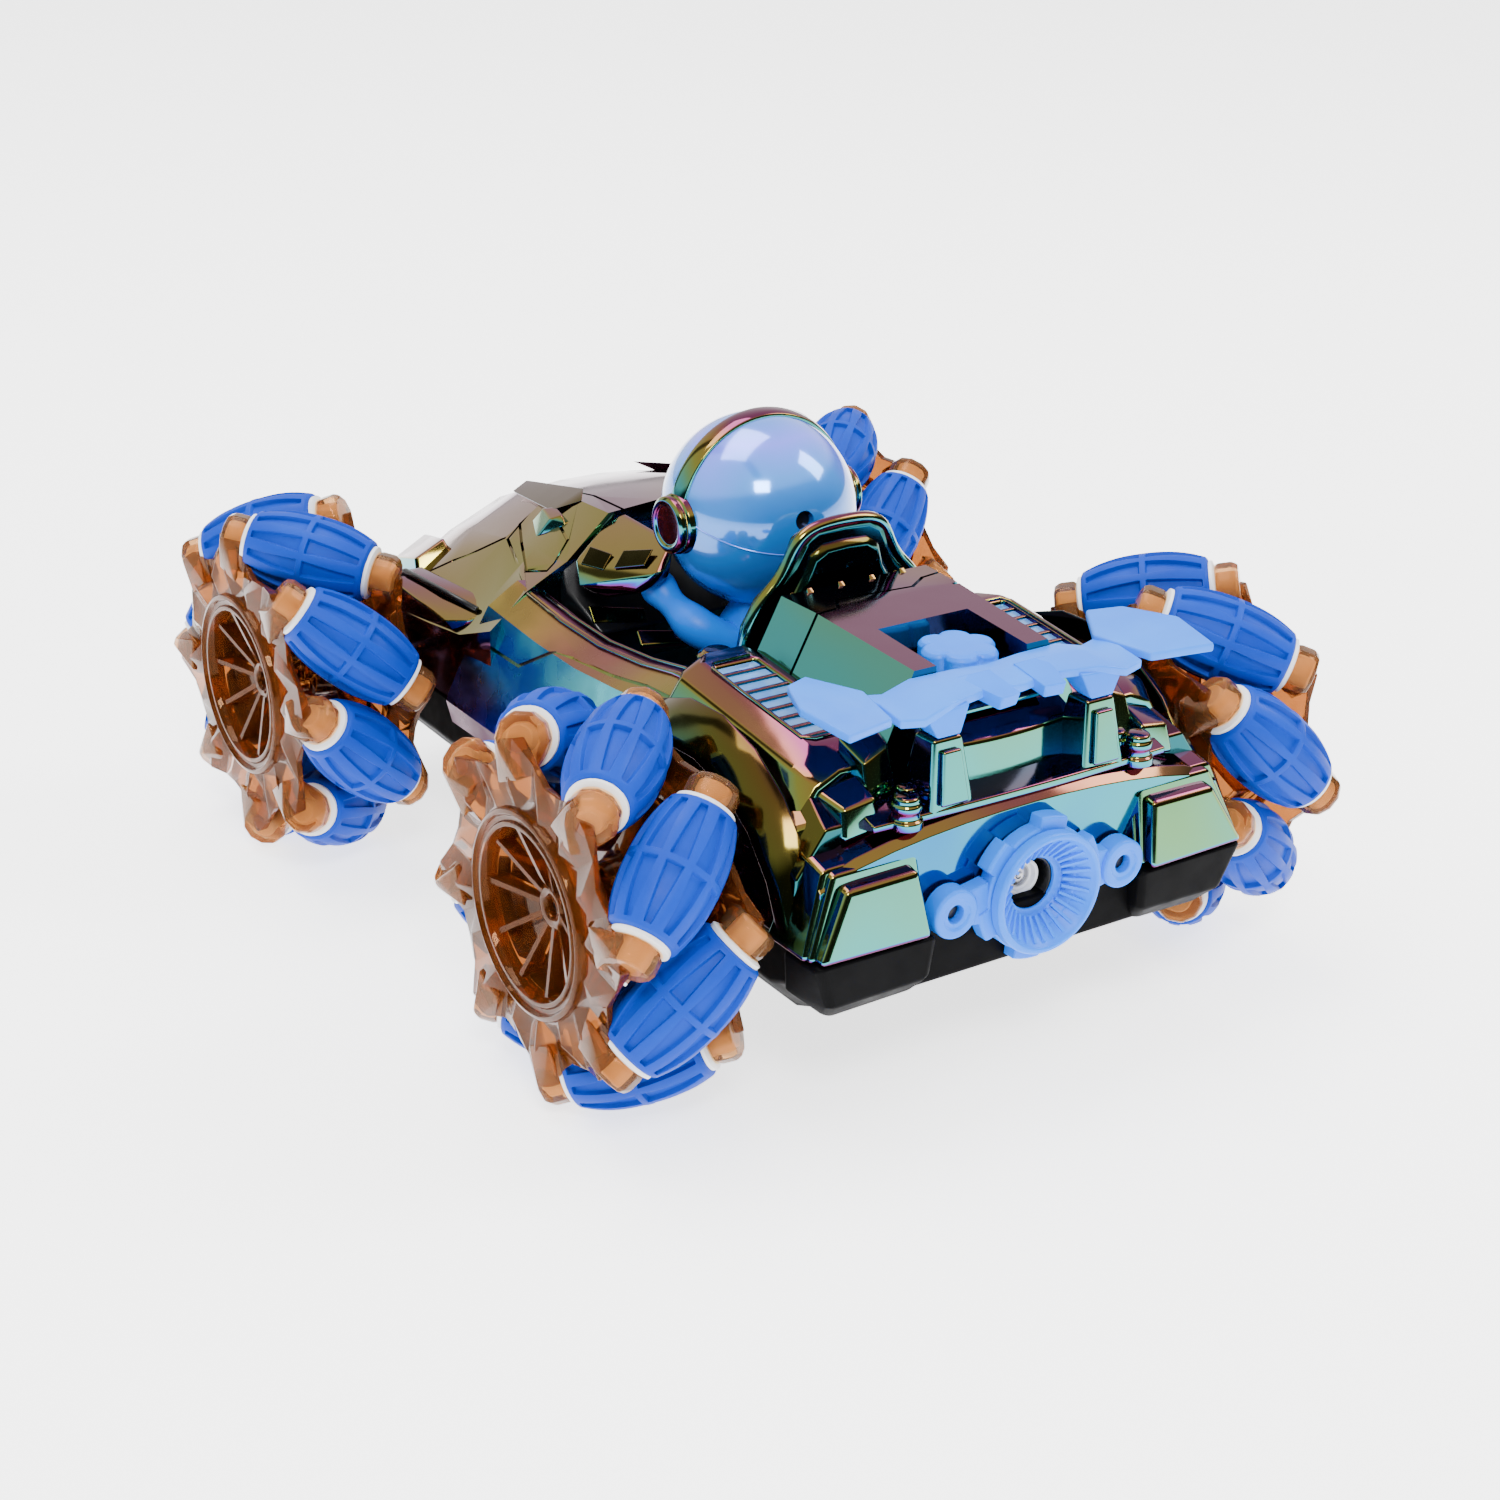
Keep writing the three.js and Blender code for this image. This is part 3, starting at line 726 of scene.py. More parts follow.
def flange_pieces(wheel, face):
    side = WHEELS[wheel][0]
    name = f"{'outer' if face > 0 else 'inner'}_{wheel}"
    node = f"wheel_{'outer' if face > 0 else 'inner'}_flange_{wheel}"
    body = f"wheel_{wheel}"
    hub = at(side * TRACK_HALF, WHEELS[wheel][1], HUB_Z)
    axis = (side * face, 0, 0)

    def add(part, mesh, width, material=AMBER):
        return soften(piece(f"flange_{part}_{name}", mesh, material, body), width)

    star = add("star", finish_mesh(f"star_{name}", star_plate(wheel, face), False), 0.3)
    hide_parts(node)
    ring_profile = [
        (25.6, 14.6), (26.2, 17.6), (25.6, 19.6), (24.4, 20.0), (23.8, 18.8), (22.7, 18.6), (22.3, 19.4),
        (21.2, 19.4), (20.4, 17.4), (19.6, 12.2), (7.0, 9.4), (5.6, 12.2), (4.6, 12.6), (3.0, 12.4),
        (2.4, 11.4),
        (2.4, 1.0), (7.6, 1.0), (8.2, 7.6), (20.6, 10.4), (22.0, 14.6),
    ]
    lathe(f"flange_dish_{name}", ring_profile, hub, axis, AMBER, body, 64, 0.25)
    spokes = bmesh.new()
    for k in range(10):
        angle = 2 * math.pi * k / 10
        spoke = [
            (4.4, 9.0), (4.4, 12.4), (9.0, 13.6), (17.5, 16.4), (20.6, 17.4), (20.6, 12.6),
        ]
        direction = Vector((0, math.cos(angle), math.sin(angle)))
        across = Vector((0, -math.sin(angle), math.cos(angle)))
        made = []
        for half in (-0.7, 0.7):
            for radius, out in spoke:
                point = hub + Vector(axis) * out * MM + direction * radius * MM + across * half * MM
                made.append(spokes.verts.new(point))
        bmesh.ops.convex_hull(spokes, input=made)
    add("spokes", finish_mesh(f"spokes_{name}", spokes, False), 0.2)
    for index in range(ROLLERS):
        theta = roller_theta(wheel, index)

        def local(out, around, radial):
            return wheel_point(wheel, theta, out * face, around * face, radial)

        points = [local(19.6, 5.5, 31.0), local(19.8, 15.5, 30.0), local(16.0, 10.5, 31.0),
            local(16.0, 17.0, 30.0)]
        for distance, radius in ((18.6, 6.2), (19.6, 6.5), (23.0, 6.5), (24.6, 5.6)):
            step = distance * math.sqrt(0.5)
            for k in range(10):
                angle = 2 * math.pi * (k + 0.5) / 10
                across = radius * math.cos(angle) * math.sqrt(0.5)
                points.append(local(step - across, step + across, ROLLER_CIRCLE + radius * math.sin(angle)))
        add(f"boss_{index + 1}", hull_mesh(f"boss_{name}_{index + 1}", points), 0.45, AMBER_BOSS)
    screw = [(0, 9.6), (0.8, 9.6), (0.8, 10.4), (2.0, 10.4), (2.2, 9.6), (2.2, 4.0), (0, 4.0)]
    if face > 0:
        lathe(f"hub_screw_{wheel}", screw, hub, axis, DARK, body, 24, 0.15)
    else:
        axle = [(0, 9.0), (2.0, 9.0), (2.0, 33.6), (0, 33.6)]
        lathe(f"axle_{wheel}", axle, hub, axis, STEEL, body, 24, 0.2)


def wheels():
    roller_pieces()
    for wheel in WHEELS:
        for face in (1, -1):
            flange_pieces(wheel, face)


# Body

PANEL_Y = -120.0
NOZZLE_Z = 52.5
# The arcs over the rear wheels.
ARC_RADIUS, ARC_DEPTH, ARC_Z = 48.0, 6.5, 44.0
BACKWARD = (0, -1, 0)
# The power switch under the floor.
SWITCH_Y, SWITCH_TRAVEL = 29.5, 2.8


def tub():
    """The black lower tub with its rounded corner boxes."""
    ring = [
        (-121.0, 60, 64, 34), (-104, 60, 63, 27), (-30, 60, 62, 27), (118, 58, 61, 27), (137, 44, 50, 35),
    ]
    rings = []
    for y, low, high, bottom in ring:
        rings.append([(-high, y, 48.7), (-high, y, bottom + 9), (-low + 5, y, bottom), (low - 5, y, bottom),
                      (high, y, bottom + 9), (high, y, 48.7)])
    base = loft("tub_base", rings, BLACK, 1.6, segments=4)
    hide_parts("chassis_base")
    cut_hull(base, [
        (x, SWITCH_Y + y, z) for x in (-5.2, 5.2 + SWITCH_TRAVEL) for y in (-2.7, 2.7) for z in (20, 30.4)
    ])
    cut_hull(base, [(x, y, z) for x in (-21.0, 21.0) for y in (-40.0, 22.0) for z in (20, 28.8)])
    for name, side in SIDES.items():
        hull(f"tub_corner_{name}", mirrored([
            (31, -112, 49), (65.5, -112, 49), (31, -126.0, 49), (64.5, -125.5, 49),
            (32, -125.0, 38), (60, -124.0, 37), (34, -121, 33.5), (57, -118, 31), (65, -112, 38),
            (31, -112, 34),
        ], side), BLACK, 1.6, segments=4)


def underside():
    """The battery door's panel with two grips, and the switch's slider in its slot."""
    door = hull("door_panel", [
        (x, y, z) for x in (-20.6, 20.6) for y in (-39.6, 21.6) for z in (26.4, 28.4)
    ], DARK, 0.5)
    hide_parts("battery_door")
    for y in (-33.0, -29.0, -25.0):
        hull(f"door_grip_{int(-y)}", [
            (x, y + half, z) for x, half, z in (
                (-9, -0.9, 26.6), (-9, 0.9, 26.6), (9, -0.9, 26.6), (9, 0.9, 26.6),
                (-8.6, -0.4, 25.8), (-8.6, 0.4, 25.8), (8.6, -0.4, 25.8), (8.6, 0.4, 25.8),
            )
        ], DARK, 0.2)
    slider = hull("switch_slider", [
        (x, SWITCH_Y + y, z) for x in (-4.6, 4.6) for y in (-2.2, 2.2) for z in (26.3, 29.4)
    ], WHITE, 0.3, body="power_switch")
    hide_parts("power_switch")
    for x in (-1.6, 0.0, 1.6):
        hull(f"switch_ridge_{int(x * 10 + 20)}", [
            (x + half, SWITCH_Y + y, z) for half in (-0.4, 0.4) for y in (-1.8, 1.8) for z in (25.7, 26.5)
        ], WHITE, 0.15, body="power_switch")


def sills():
    """The plated side panels between the wheels, each with a zigzag groove and the cockpit's rim."""
    for name, side in SIDES.items():
        stations = [(-50, 4.4), (-40, 3.4), (-25, 0.6), (-4, -1.6), (16, -1.2), (34, 0.6), (46, 1.6)]
        rings = []
        for y, rise in stations:
            lean = 8.0 if y > 40 else 0.0
            rings.append([
                (42.5, y, 79.5), (44.5, y - lean * 0.6, 85.0 + rise), (48.5, y - lean * 0.5, 85.4 + rise),
                (51.0, y - lean * 0.5, 84.0 + rise), (57.2, y - lean * 0.4, 80.0 + rise * 0.7),
                (62.4, y + lean * 0.6, 62.0), (64.4, y + lean * 1.2, 50.5), (60.5, y + lean * 1.6, 40.0),
                (50.0, y + lean * 1.4, 40.0), (42.5, y + lean, 60.0),
            ])
        # The sills' satin plating is lifted in colour as painted light.
        panel = loft(f"sill_{name}", [mirrored(ring, side) for ring in rings], SATIN_PAINTED_LIGHT, 0.6)
        carve(panel, mirrored([(59.9, 48, 71.4), (59.9, 22, 71.4), (57.2, 7, 80.2), (56.0, 0, 80.6),
                               (55.0, -18, 81.6), (54.4, -34, 84.2), (54.0, -52, 85.2)], side),
              (side, 0, 0.75), 0.9, 1.1)
        for x, lift, thickness in ((49.8, 85.2, 0.55), (46.4, 85.8, 0.5)):
            line = [at(side * x, y, lift + rise) for y, rise in stations[:-1]]
            piece(f"sill_trim_{name}_{int(x)}", tube_mesh(f"sill_trim_{name}", line, thickness, 10), PLATED)


def bonnet():
    """The long bonnet: a stepped armour shape falling to the nose."""
    rings = [
        (35, 24, 104.0, 37, 92.5, 50, 86.0, 61), (52, 23.5, 102.8, 37.5, 91.2, 51, 79.5, 61.5),
        (70, 22, 99.4, 37.5, 88.6, 51, 77, 61.5), (92, 19, 93.5, 36, 84.6, 50, 74.5, 61),
        (112, 16, 85.5, 33, 78.0, 46, 69.5, 58), (128, 13, 75.0, 28, 69, 40, 62, 50),
        (138, 10, 65.0, 24, 61, 34, 56, 42),
    ]
    shape = []
    for y, ridge, top, middle, waist, shoulder, low, wide in rings:
        half = [(ridge * 0.35, top + 1.2), (ridge, top), (middle, waist), (shoulder, low), (wide, low - 9),
            (wide, 49.3)]
        right = [(x, y, z) for x, z in half]
        left = [(-x, y, z) for x, z in reversed(half)]
        shape.append(right + left)
    main = loft("bonnet", shape, PLATED, 0.6)
    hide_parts("body_shell")
    for name, side in SIDES.items():
        flip = (side * 0.6, -0.1, 0.8)
        carve(main, mirrored([(49.6, 36, 86.4), (37.4, 68, 89.2), (24.5, 72, 98.0)], side), flip, 0.9, 1.3)
        carve(main, mirrored([(30.5, 74, 93.2), (37.4, 60, 90.4), (43.6, 46, 87.3), (41.6, 38, 89.6),
                              (33.2, 42, 96.2), (29.0, 56, 98.0)], side), flip, 0.9, 1.3)
        carve(main, mirrored([(37.4, 70, 88.9), (46.0, 86, 79.4), (50.5, 92, 74.9)], side), flip, 1.0, 1.3)
        carve(main, mirrored([(19.6, 34, 104.4), (17.6, 70, 100.4), (14.6, 112, 86.4)], side), (0, 0, 1))
        # A blade along the ridge, darkened as painted shade, a gem-like prism beside it and another on the
        # nose.
        hull(f"bonnet_blade_{name}", mirrored([
            (23.5, 50, 103.2), (29.0, 58, 99.0), (22.6, 92, 94.0), (17.8, 92, 96.6), (20.6, 54, 105.2),
            (25.5, 64, 94.0),
        ], side), PLATED_SHADED, 0.4)
        hull(f"bonnet_gem_{name}", mirrored([
            (35.0, 56, 92.4), (29.6, 48, 97.4), (30.6, 66, 94.0), (26.0, 60, 97.6), (32.0, 53, 98.4),
            (29.4, 50.5, 99.8), (29.4, 62, 98.6), (27.4, 58, 99.8),
        ], side), PLATED, 0.6)
        hull(f"nose_gem_{name}", mirrored([
            (51, 98, 70), (40, 96, 76), (47, 128, 62), (34, 128, 68), (50, 101, 75.5), (41, 100, 80.5),
            (46, 122, 69), (36, 122, 74.5),
        ], side), PLATED, 0.9, segments=3)
        # Rounded pod beside the cockpit, with two pale windows.
        hull(f"bonnet_pod_{name}", mirrored([
            (26, 36, 100.6), (37, 32, 94), (24, 22, 102.5), (37.5, 14, 93.0), (22, 4, 105), (30, -2, 99),
            (25, 36, 93), (36, 16, 87), (39.5, 26, 88), (25, 2, 95), (33, 4, 92), (20, 34, 104.2),
        ], side), PLATED, 2.0, segments=5)
        slot_normal = Vector((side * 0.68, -0.08, 0.73)).normalized()
        for number, (near, far) in enumerate((((34.8, 28.5, 95.6), (33.4, 19.0, 96.6)),
                                              ((32.2, 15.5, 97.9), (28.6, 6.0, 101.0)))):
            near, far = Vector(near), Vector(far)
            half = Vector((-2.0, 0.8, 1.9))
            # The windows take the plating dimmed as painted shade.
            plate(f"bonnet_window_{name}_{number + 1}", mirrored([
                tuple(near - half), tuple(far - half), tuple(far + half * 0.8), tuple(near + half),
            ], side), 0.5, slot_normal, PLATED_SHADED, 0.3)
        # Flat strips over the front wheel, with a dark groove between them, above the inner fender, darkened
        # as painted shade.
        hull(f"fender_strip_{name}", mirrored([
            (50.5, 48, 78.0), (58.5, 52, 74.0), (62.0, 60, 72.0), (50.0, 128, 62), (60.0, 116, 65),
            (53.0, 90, 77.0), (61.5, 92, 73.5), (50, 50, 70), (60.5, 56, 68.5), (60.5, 114, 60),
            (49, 126, 58),
        ], side), PLATED, 0.6)
        groove = [at(side * x, y, z) for x, y, z in ((55.4, 53, 76.4), (57.0, 72, 76.6), (57.4, 92, 75.9),
            (56.0, 116, 66.6))]
        piece(f"fender_groove_{name}", tube_mesh(f"fender_groove_{name}", groove, 0.8, 8), DARK)
        hull(f"fender_inner_{name}", mirrored([
            (48, 50, 72), (59.5, 54, 70), (48, 130, 58), (58.5, 114, 60), (48, 50, 49.3), (60.0, 54, 49.3),
            (46, 134, 49.3), (59.0, 116, 49.3),
        ], side), PLATED_SHADED, 0.8)


def cockpit():
    """The black tub inside the cockpit with the dashboard."""
    rings = []
    for y, half in ((-41, 45), (-10, 45), (20, 45), (38, 44)):
        rings.append([(-half, y, 82.0), (-half, y, 55), (half, y, 55), (half, y, 82.0), (half - 4, y, 80.0),
                      (half - 9, y, 60), (9 - half, y, 60), (4 - half, y, 80.0)])
    base = loft("cockpit_floor", rings, DARK, 0.8)
    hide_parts("cockpit_tub")
    hull("dashboard", [(-40, 34, 78), (40, 34, 78), (-40, 30, 86), (40, 30, 86), (-36, 18, 76),
        (36, 18, 76),
                       (-38, 38, 92), (38, 38, 92), (-24, 38, 100), (24, 38, 100)], DARK,
                       1.2)
    for name, side in SIDES.items():
        # The dash frames take the plating dimmed as painted shade.
        plate(f"dash_frame_{name}", mirrored([(37, 24.5, 82.8), (22, 20.6, 80.6), (22, 18.8, 77.4),
            (37, 21.6, 78.8)], side),
              0.9, (0, -0.9, 0.6), PLATED_SHADED, 0.3)
        plate(f"dash_trim_{name}", mirrored([(30, 11, 78), (14, 4, 77), (14, 1, 75), (31, 7, 75)], side),
              1.6, (0, -0.3, 1), PLATED, 0.5)
        hull(f"side_pad_{name}", mirrored([
            (34, -34, 62), (34, 10, 62), (44, -36, 80), (44, 14, 80), (40, -34, 81), (40, 12, 81),
            (44, 14, 62),
            (44, -36, 62),
        ], side), DARK, 2.0, segments=4)


def deck():
    """The rear deck: side boxes and the centre hump with the filler pocket; the ledge behind them comes with
    the back panel.
    """
    rings = []
    for y, shoulder, top in ((-41, 49, 85), (-70, 50, 84), (-98, 51, 82), (-112, 54, 76)):
        rings.append([(-shoulder, y, top), (-62, y, top - 11), (-63.5, y, 49.3), (63.5, y, 49.3),
                      (62, y, top - 11), (shoulder, y, top)])
    # The deck base takes the plating dimmed as painted shade.
    base = loft("deck_base", rings, PLATED_SHADED, 0.8)
    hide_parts("rear_deck")
    hump = loft("hump", [
        [(-22.3, -46, 105.5), (-31.5, -46, 88), (-33, -46, 80), (33, -46, 80), (31.5, -46, 88),
        (22.3, -46, 105.5)],
        [(-21.6, -60, 105.4), (-31.2, -60, 87), (-33, -60, 79), (33, -60, 79), (31.2, -60, 87),
        (21.6, -60, 105.4)],
        [(-20.0, -98, 103.0), (-30.0, -100, 84), (-32, -101, 78), (32, -101, 78), (30.0, -100, 84),
        (20.0, -98, 103.0)],
    ], PLATED, 0.7)
    cut_hull(hump, [
        (x, y, z) for x in (-13.6, 13.6) for y, z in ((-74, 110), (-76, 93), (-112, 93), (-112, 110))
    ])
    carve(hump, [(22.6, -52, 105.3), (16, -53, 105.5), (10, -57, 105.5), (-12, -55, 105.6),
        (-15, -60, 105.4),
                 (-20.5, -60.5, 105.3)], (0, 0, 1))
    for side in SIDES.values():
        carve(hump, mirrored([(20.6, -60.5, 106.2), (32.5, -60.5, 85)], side), (side * 0.87, 0, 0.48))
    plate("pocket_floor", [(-15, -75.5, 92.5), (15, -75.5, 92.5), (15, -104, 91.5), (-15, -104, 91.5)], 1.2,
          (0, 0, 1), PLATED, 0.3)


def pods():
    """A vent pod on each side: a bevelled frame round a pale plate with slats."""
    for name, side in SIDES.items():
        rings = []
        for y, inner, outer, top, low in (
            (-42, 31, 46, 93.2, 80), (-47, 30, 50, 93.4, 78), (-96, 29.0, 50.5, 88.6, 73),
            (-103, 30, 48, 85.0, 72),
        ):
            rings.append(mirrored([
                (inner, y, top), (outer - 4, y, top), (outer + 2.5, y, top - 3.2),
                (outer + 7.5, y, top - 10.5),
                (outer + 9.0, y, low), (inner - 2.5, y, low), (inner - 2.5, y, top - 4.0),
            ], side))
        pod = loft(f"pod_{name}", rings, PLATED, 1.0, segments=3)

        knob = [(0, 80), (5.4, 80), (5.4, 87.6), (5.0, 88.6), (3.9, 89.0), (3.6, 89.8), (0, 90.0)]
        lathe(f"pod_knob_{name}", knob, at(side * 33.5, -34.5, 0), (0, 0, 1), PLATED, width=0.5)

        def on_top(x, y):
            return (x, y, 93.4 - (abs(y) - 47) * (4.8 / 49))

        corners = [on_top(33.0, -50.5), on_top(45.0, -50.5), on_top(45.0, -91), on_top(32.0, -91)]
        cut_hull(pod, [(x, y, z + lift) for x, y, z in mirrored(corners, side) for lift in (-2.4, 5)])
        sunk = [(x, y, z - 2.1) for x, y, z in corners]
        plate(f"vent_plate_{name}", mirrored(sunk, side), 1.0, (0, 0, 1), GRILLE, 0.1)
        for k in range(8):
            y = -54.6 - 4.9 * k
            hull(f"slat_{name}_{k + 1}", [
                tuple(Vector(point) + Vector((0, 0, lift)))
                for point in mirrored([on_top(32.2, y + 0.55), on_top(45.4, y + 0.55),
                on_top(32.2, y - 0.55),
                                       on_top(45.4, y - 0.55)], side)
                for lift in (-2.0, -0.45)
            ], PLATED, 0.25)
        frame_line = [on_top(34.0, -49.6), on_top(44.4, -49.6), on_top(46.2, -52), on_top(46.2, -90.5),
                      on_top(43.8, -92.4), on_top(32.2, -92.4)]
        work_points = [at(*point) + Vector((0, 0, 0.15 * MM)) for point in mirrored(frame_line, side)]
        rim = piece(f"vent_rim_{name}", tube_mesh(f"vent_rim_{name}", work_points, 0.55, 10), PLATED)
        rim.data.shade_smooth()


def rear_panel():
    """The bowed back panel, its leaf-shaped ledge, the inner panel, pylons, posts, armour blocks and arcs."""
    rings = []
    count = 13
    for i in range(count):
        x = -60 + 120 * i / (count - 1)
        bow = 4.0 * (1 - (x / 60) ** 2)
        top = 66 + 9.5 * (1 - (x / 60) ** 2) ** 0.7
        rings.append([
            (x, PANEL_Y + 2 - bow * 0.3, 49.2), (x, PANEL_Y + 1.2 - bow * 0.45, top - 2),
            (x, PANEL_Y + 3.0 - bow * 0.4, top), (x, PANEL_Y + 14, top + 2.5), (x, PANEL_Y + 14, 49.2),
        ])
    panel = loft("back_panel", rings, PLATED, 0.9, segments=3)
    ledge = []
    for i in range(count):
        x = -44 + 88 * i / (count - 1)
        reach = max(0.02, 1 - (x / 44) ** 2)
        ledge.append([
            (x, PANEL_Y + 3.6 - 3.4 * reach, 74.2 + 1.2 * reach),
            (x, PANEL_Y + 3.4 - 3.0 * reach, 76.0 + 1.4 * reach),
            (x, PANEL_Y + 12, 78.6), (x, PANEL_Y + 12, 73.0),
        ])
    loft("ledge", ledge, PLATED, 0.5)
    inner = []
    for i in range(count):
        x = -21 + 42 * i / (count - 1)
        bow = 2.4 * (1 - (x / 21) ** 2)
        inner.append([
            (x, -109.5 - bow, 77.0), (x, -108.0 - bow, 87.0), (x, -105.5 - bow, 89.0), (x, -97, 92.5),
            (x, -97, 77.0),
        ])
    loft("inner_panel", inner, PLATED, 0.7, segments=3)
    for name, side in SIDES.items():
        pylon = [
            (16.2, -118.6, 75), (29.4, -118.6, 75), (15.6, -106, 75), (30.0, -106, 75),
            (18.6, -115.6, 93.4), (27.0, -115.6, 93.4), (18.2, -108.5, 93.4), (27.4, -108.5, 93.4),
        ]
        hull(f"pylon_{name}", mirrored(pylon, side), PLATED, 1.1, segments=3)
        plate(f"pylon_inset_{name}", mirrored([
            (18.8, -118.2, 77.6), (26.8, -118.2, 77.6), (25.4, -116.0, 90.6), (20.2, -116.0, 90.6),
        ], side), 1.5, (0, -0.98, 0.15), PLATED, 0.7, segments=3)
        for x, y, scale in ((34.8, -116.4, 0.74), (31.6, -112.0, 0.6)):
            post = [(0, 74), (5.6, 74), (5.6, 76.0), (4.4, 76.6), (4.4, 78.0), (5.0, 78.5), (5.0, 79.8),
                (4.2, 80.4), (4.2, 81.4), (3.4, 82.0), (0, 82.2)]
            lathe(f"post_{name}_{int(x)}", [(radius * scale, height) for radius, height in post],
                  at(side * x, y, 0), (0, 0, 1), PLATED, segments=40, width=0.5)
        block = [
            (39, -113.5, 73), (50, -113.5, 72), (39, -106, 74), (52, -100, 74), (40, -112, 81),
            (49, -111.5, 79.5),
            (40, -104, 84), (50.5, -101, 81),
        ]
        hull(f"armour_low_{name}", mirrored(block, side), PLATED, 1.2, segments=3)
        hull(f"armour_high_{name}", mirrored([
            (31, -109, 76), (40.5, -110, 76), (30, -98, 80), (42, -98, 80), (32, -105, 90),
            (39.5, -106, 87),
            (31, -97, 93), (41, -97, 91),
        ], side), PLATED, 1.0, segments=3)
        hull(f"armour_side_{name}", mirrored([
            (50, -112, 66), (61.5, -108, 64), (50, -96, 70), (63, -88, 66), (51, -109, 77),
            (58.5, -104, 74),
            (50, -94, 82), (60, -88, 76),
        ], side), PLATED, 1.0, segments=3)
        arc = []
        for k in range(9):
            angle = math.radians(28 + 17 * k)
            y, z = REAR_HUB_Y + ARC_RADIUS * math.cos(angle), ARC_Z + ARC_RADIUS * math.sin(angle)
            inner = ARC_RADIUS - ARC_DEPTH
            inner_y, inner_z = REAR_HUB_Y + inner * math.cos(angle), ARC_Z + inner * math.sin(angle)
            arc.append(mirrored([
                (57.5, inner_y, inner_z), (57.0, y, z), (61.5, y, z - 3.0), (65.0, y, z - 8.0),
                (65.2, inner_y, inner_z - 4),
            ], side))
        # The arc takes the plating dimmed as painted shade.
        loft(f"wheel_arc_{name}", arc, PLATED_SHADED, 0.8, segments=3)


def bumpers():
    """Stepped plated bumper blocks at the two rear corners; the black below them is the tub's corner boxes.
    """
    # Each step: inner and outer edge at the foot, the same at the top, the rear face's Y at foot and top,
    # the height and the rounding.
    steps = [
        ((31.6, 66.4), (32.8, 58.6), (-122.6, -117.8), 69.5, 1.4),
        ((32.4, 65.4), (33.6, 57.0), (-124.0, -119.6), 68.6, 1.2),
        ((33.4, 64.2), (35.4, 55.2), (-127.2, -123.4), 65.8, 1.5),
    ]
    for name, side in SIDES.items():
        for index, (foot, head, rear, top, width) in enumerate(steps):
            hull(f"bumper_{name}_{index + 1}", mirrored([
                (foot[0], rear[0], 49.4), (foot[1], rear[0] + 1, 49.4), (head[0], rear[1], top),
                (head[1], rear[1] + 0.4, top - 0.4), (foot[0], -112, 49.4), (foot[1], -106, 49.4),
                (head[0], -110, top + 2.6), (head[1], -108, top + 1.8),
            ], side), PLATED, width, segments=3)


def seat():
    """The seat back behind the driver: a broad shell with a narrower head part, a rolled rim and ribs."""
    half = [
        (0, 119.6), (8.5, 119.2), (13.2, 116.6), (15.4, 111.0), (18.6, 106.0), (23.4, 102.0), (27.4, 95.0),
        (29.0, 84.0), (28.0, 76.0),
    ]
    outline = [(x, z) for x, z in half] + [(-x, z) for x, z in reversed(half[1:])]
    lean = 0.056

    def ring(scale, y):
        return [(x * scale, y - (z - 80) * lean, 76 + (z - 76) * (0.5 + 0.5 * scale)) for x, z in outline]

    # Seat back, inset and ribs take the plating dimmed as painted shade.
    loft("seat_back", [ring(0.9, -39.0), ring(1.0, -38.0), ring(1.0, -34.0), ring(0.9, -33.0)],
         PLATED_SHADED, 0.8, segments=3)
    loft("seat_inset", [ring(0.72, -40.6), ring(0.8, -39.2), ring(0.8, -38.0)], PLATED_SHADED,
        0.7)
    curve = bpy.data.curves.new("seat_rim", "CURVE")
    curve.dimensions = "3D"
    curve.bevel_depth = 1.7 * MM
    curve.bevel_resolution = 5
    curve.use_fill_caps = True
    spline = curve.splines.new("NURBS")
    ordered = [(-x, z) for x, z in reversed(half)] + half[1:]
    spline.points.add(len(ordered) - 1)
    for point, (x, z) in zip(spline.points, ordered):
        point.co = (*at(x, -37.4 - (z - 80) * lean, z), 1)
    spline.use_endpoint_u = True
    spline.order_u = 4
    rim = bpy.data.objects.new("seat_rim", curve)
    bpy.context.scene.collection.objects.link(rim)
    curve.materials.append(PLATED)
    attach(rim, "chassis")
    for k in range(5):
        x = -16 + 8 * k
        hull(f"seat_rib_{k + 1}", [(x - 0.8, -40.2, 82), (x + 0.8, -40.2, 82), (x - 0.8, -41.4, 104),
                                   (x + 0.8, -41.4, 104), (x - 0.8, -41.6, 84), (x + 0.8, -41.6, 84),
                                   (x - 0.8, -42.4, 102), (x + 0.8, -42.4, 102)], PLATED_SHADED,
                                   0.4)
    for k in range(4):
        x = -14.5 + 9.5 * k
        hull(f"seat_tooth_{k + 1}", [(x - 1.2, -46.2, 104.6), (x + 1.2, -46.2, 104.6),
            (x - 1.2, -48.6, 104.6),
                                     (x + 1.2, -48.6, 104.6), (x - 0.7, -46.8, 106.6),
                                     (x + 0.7, -46.8, 106.6)],
             PLATED, 0.3)


# Wing, filler and nozzle


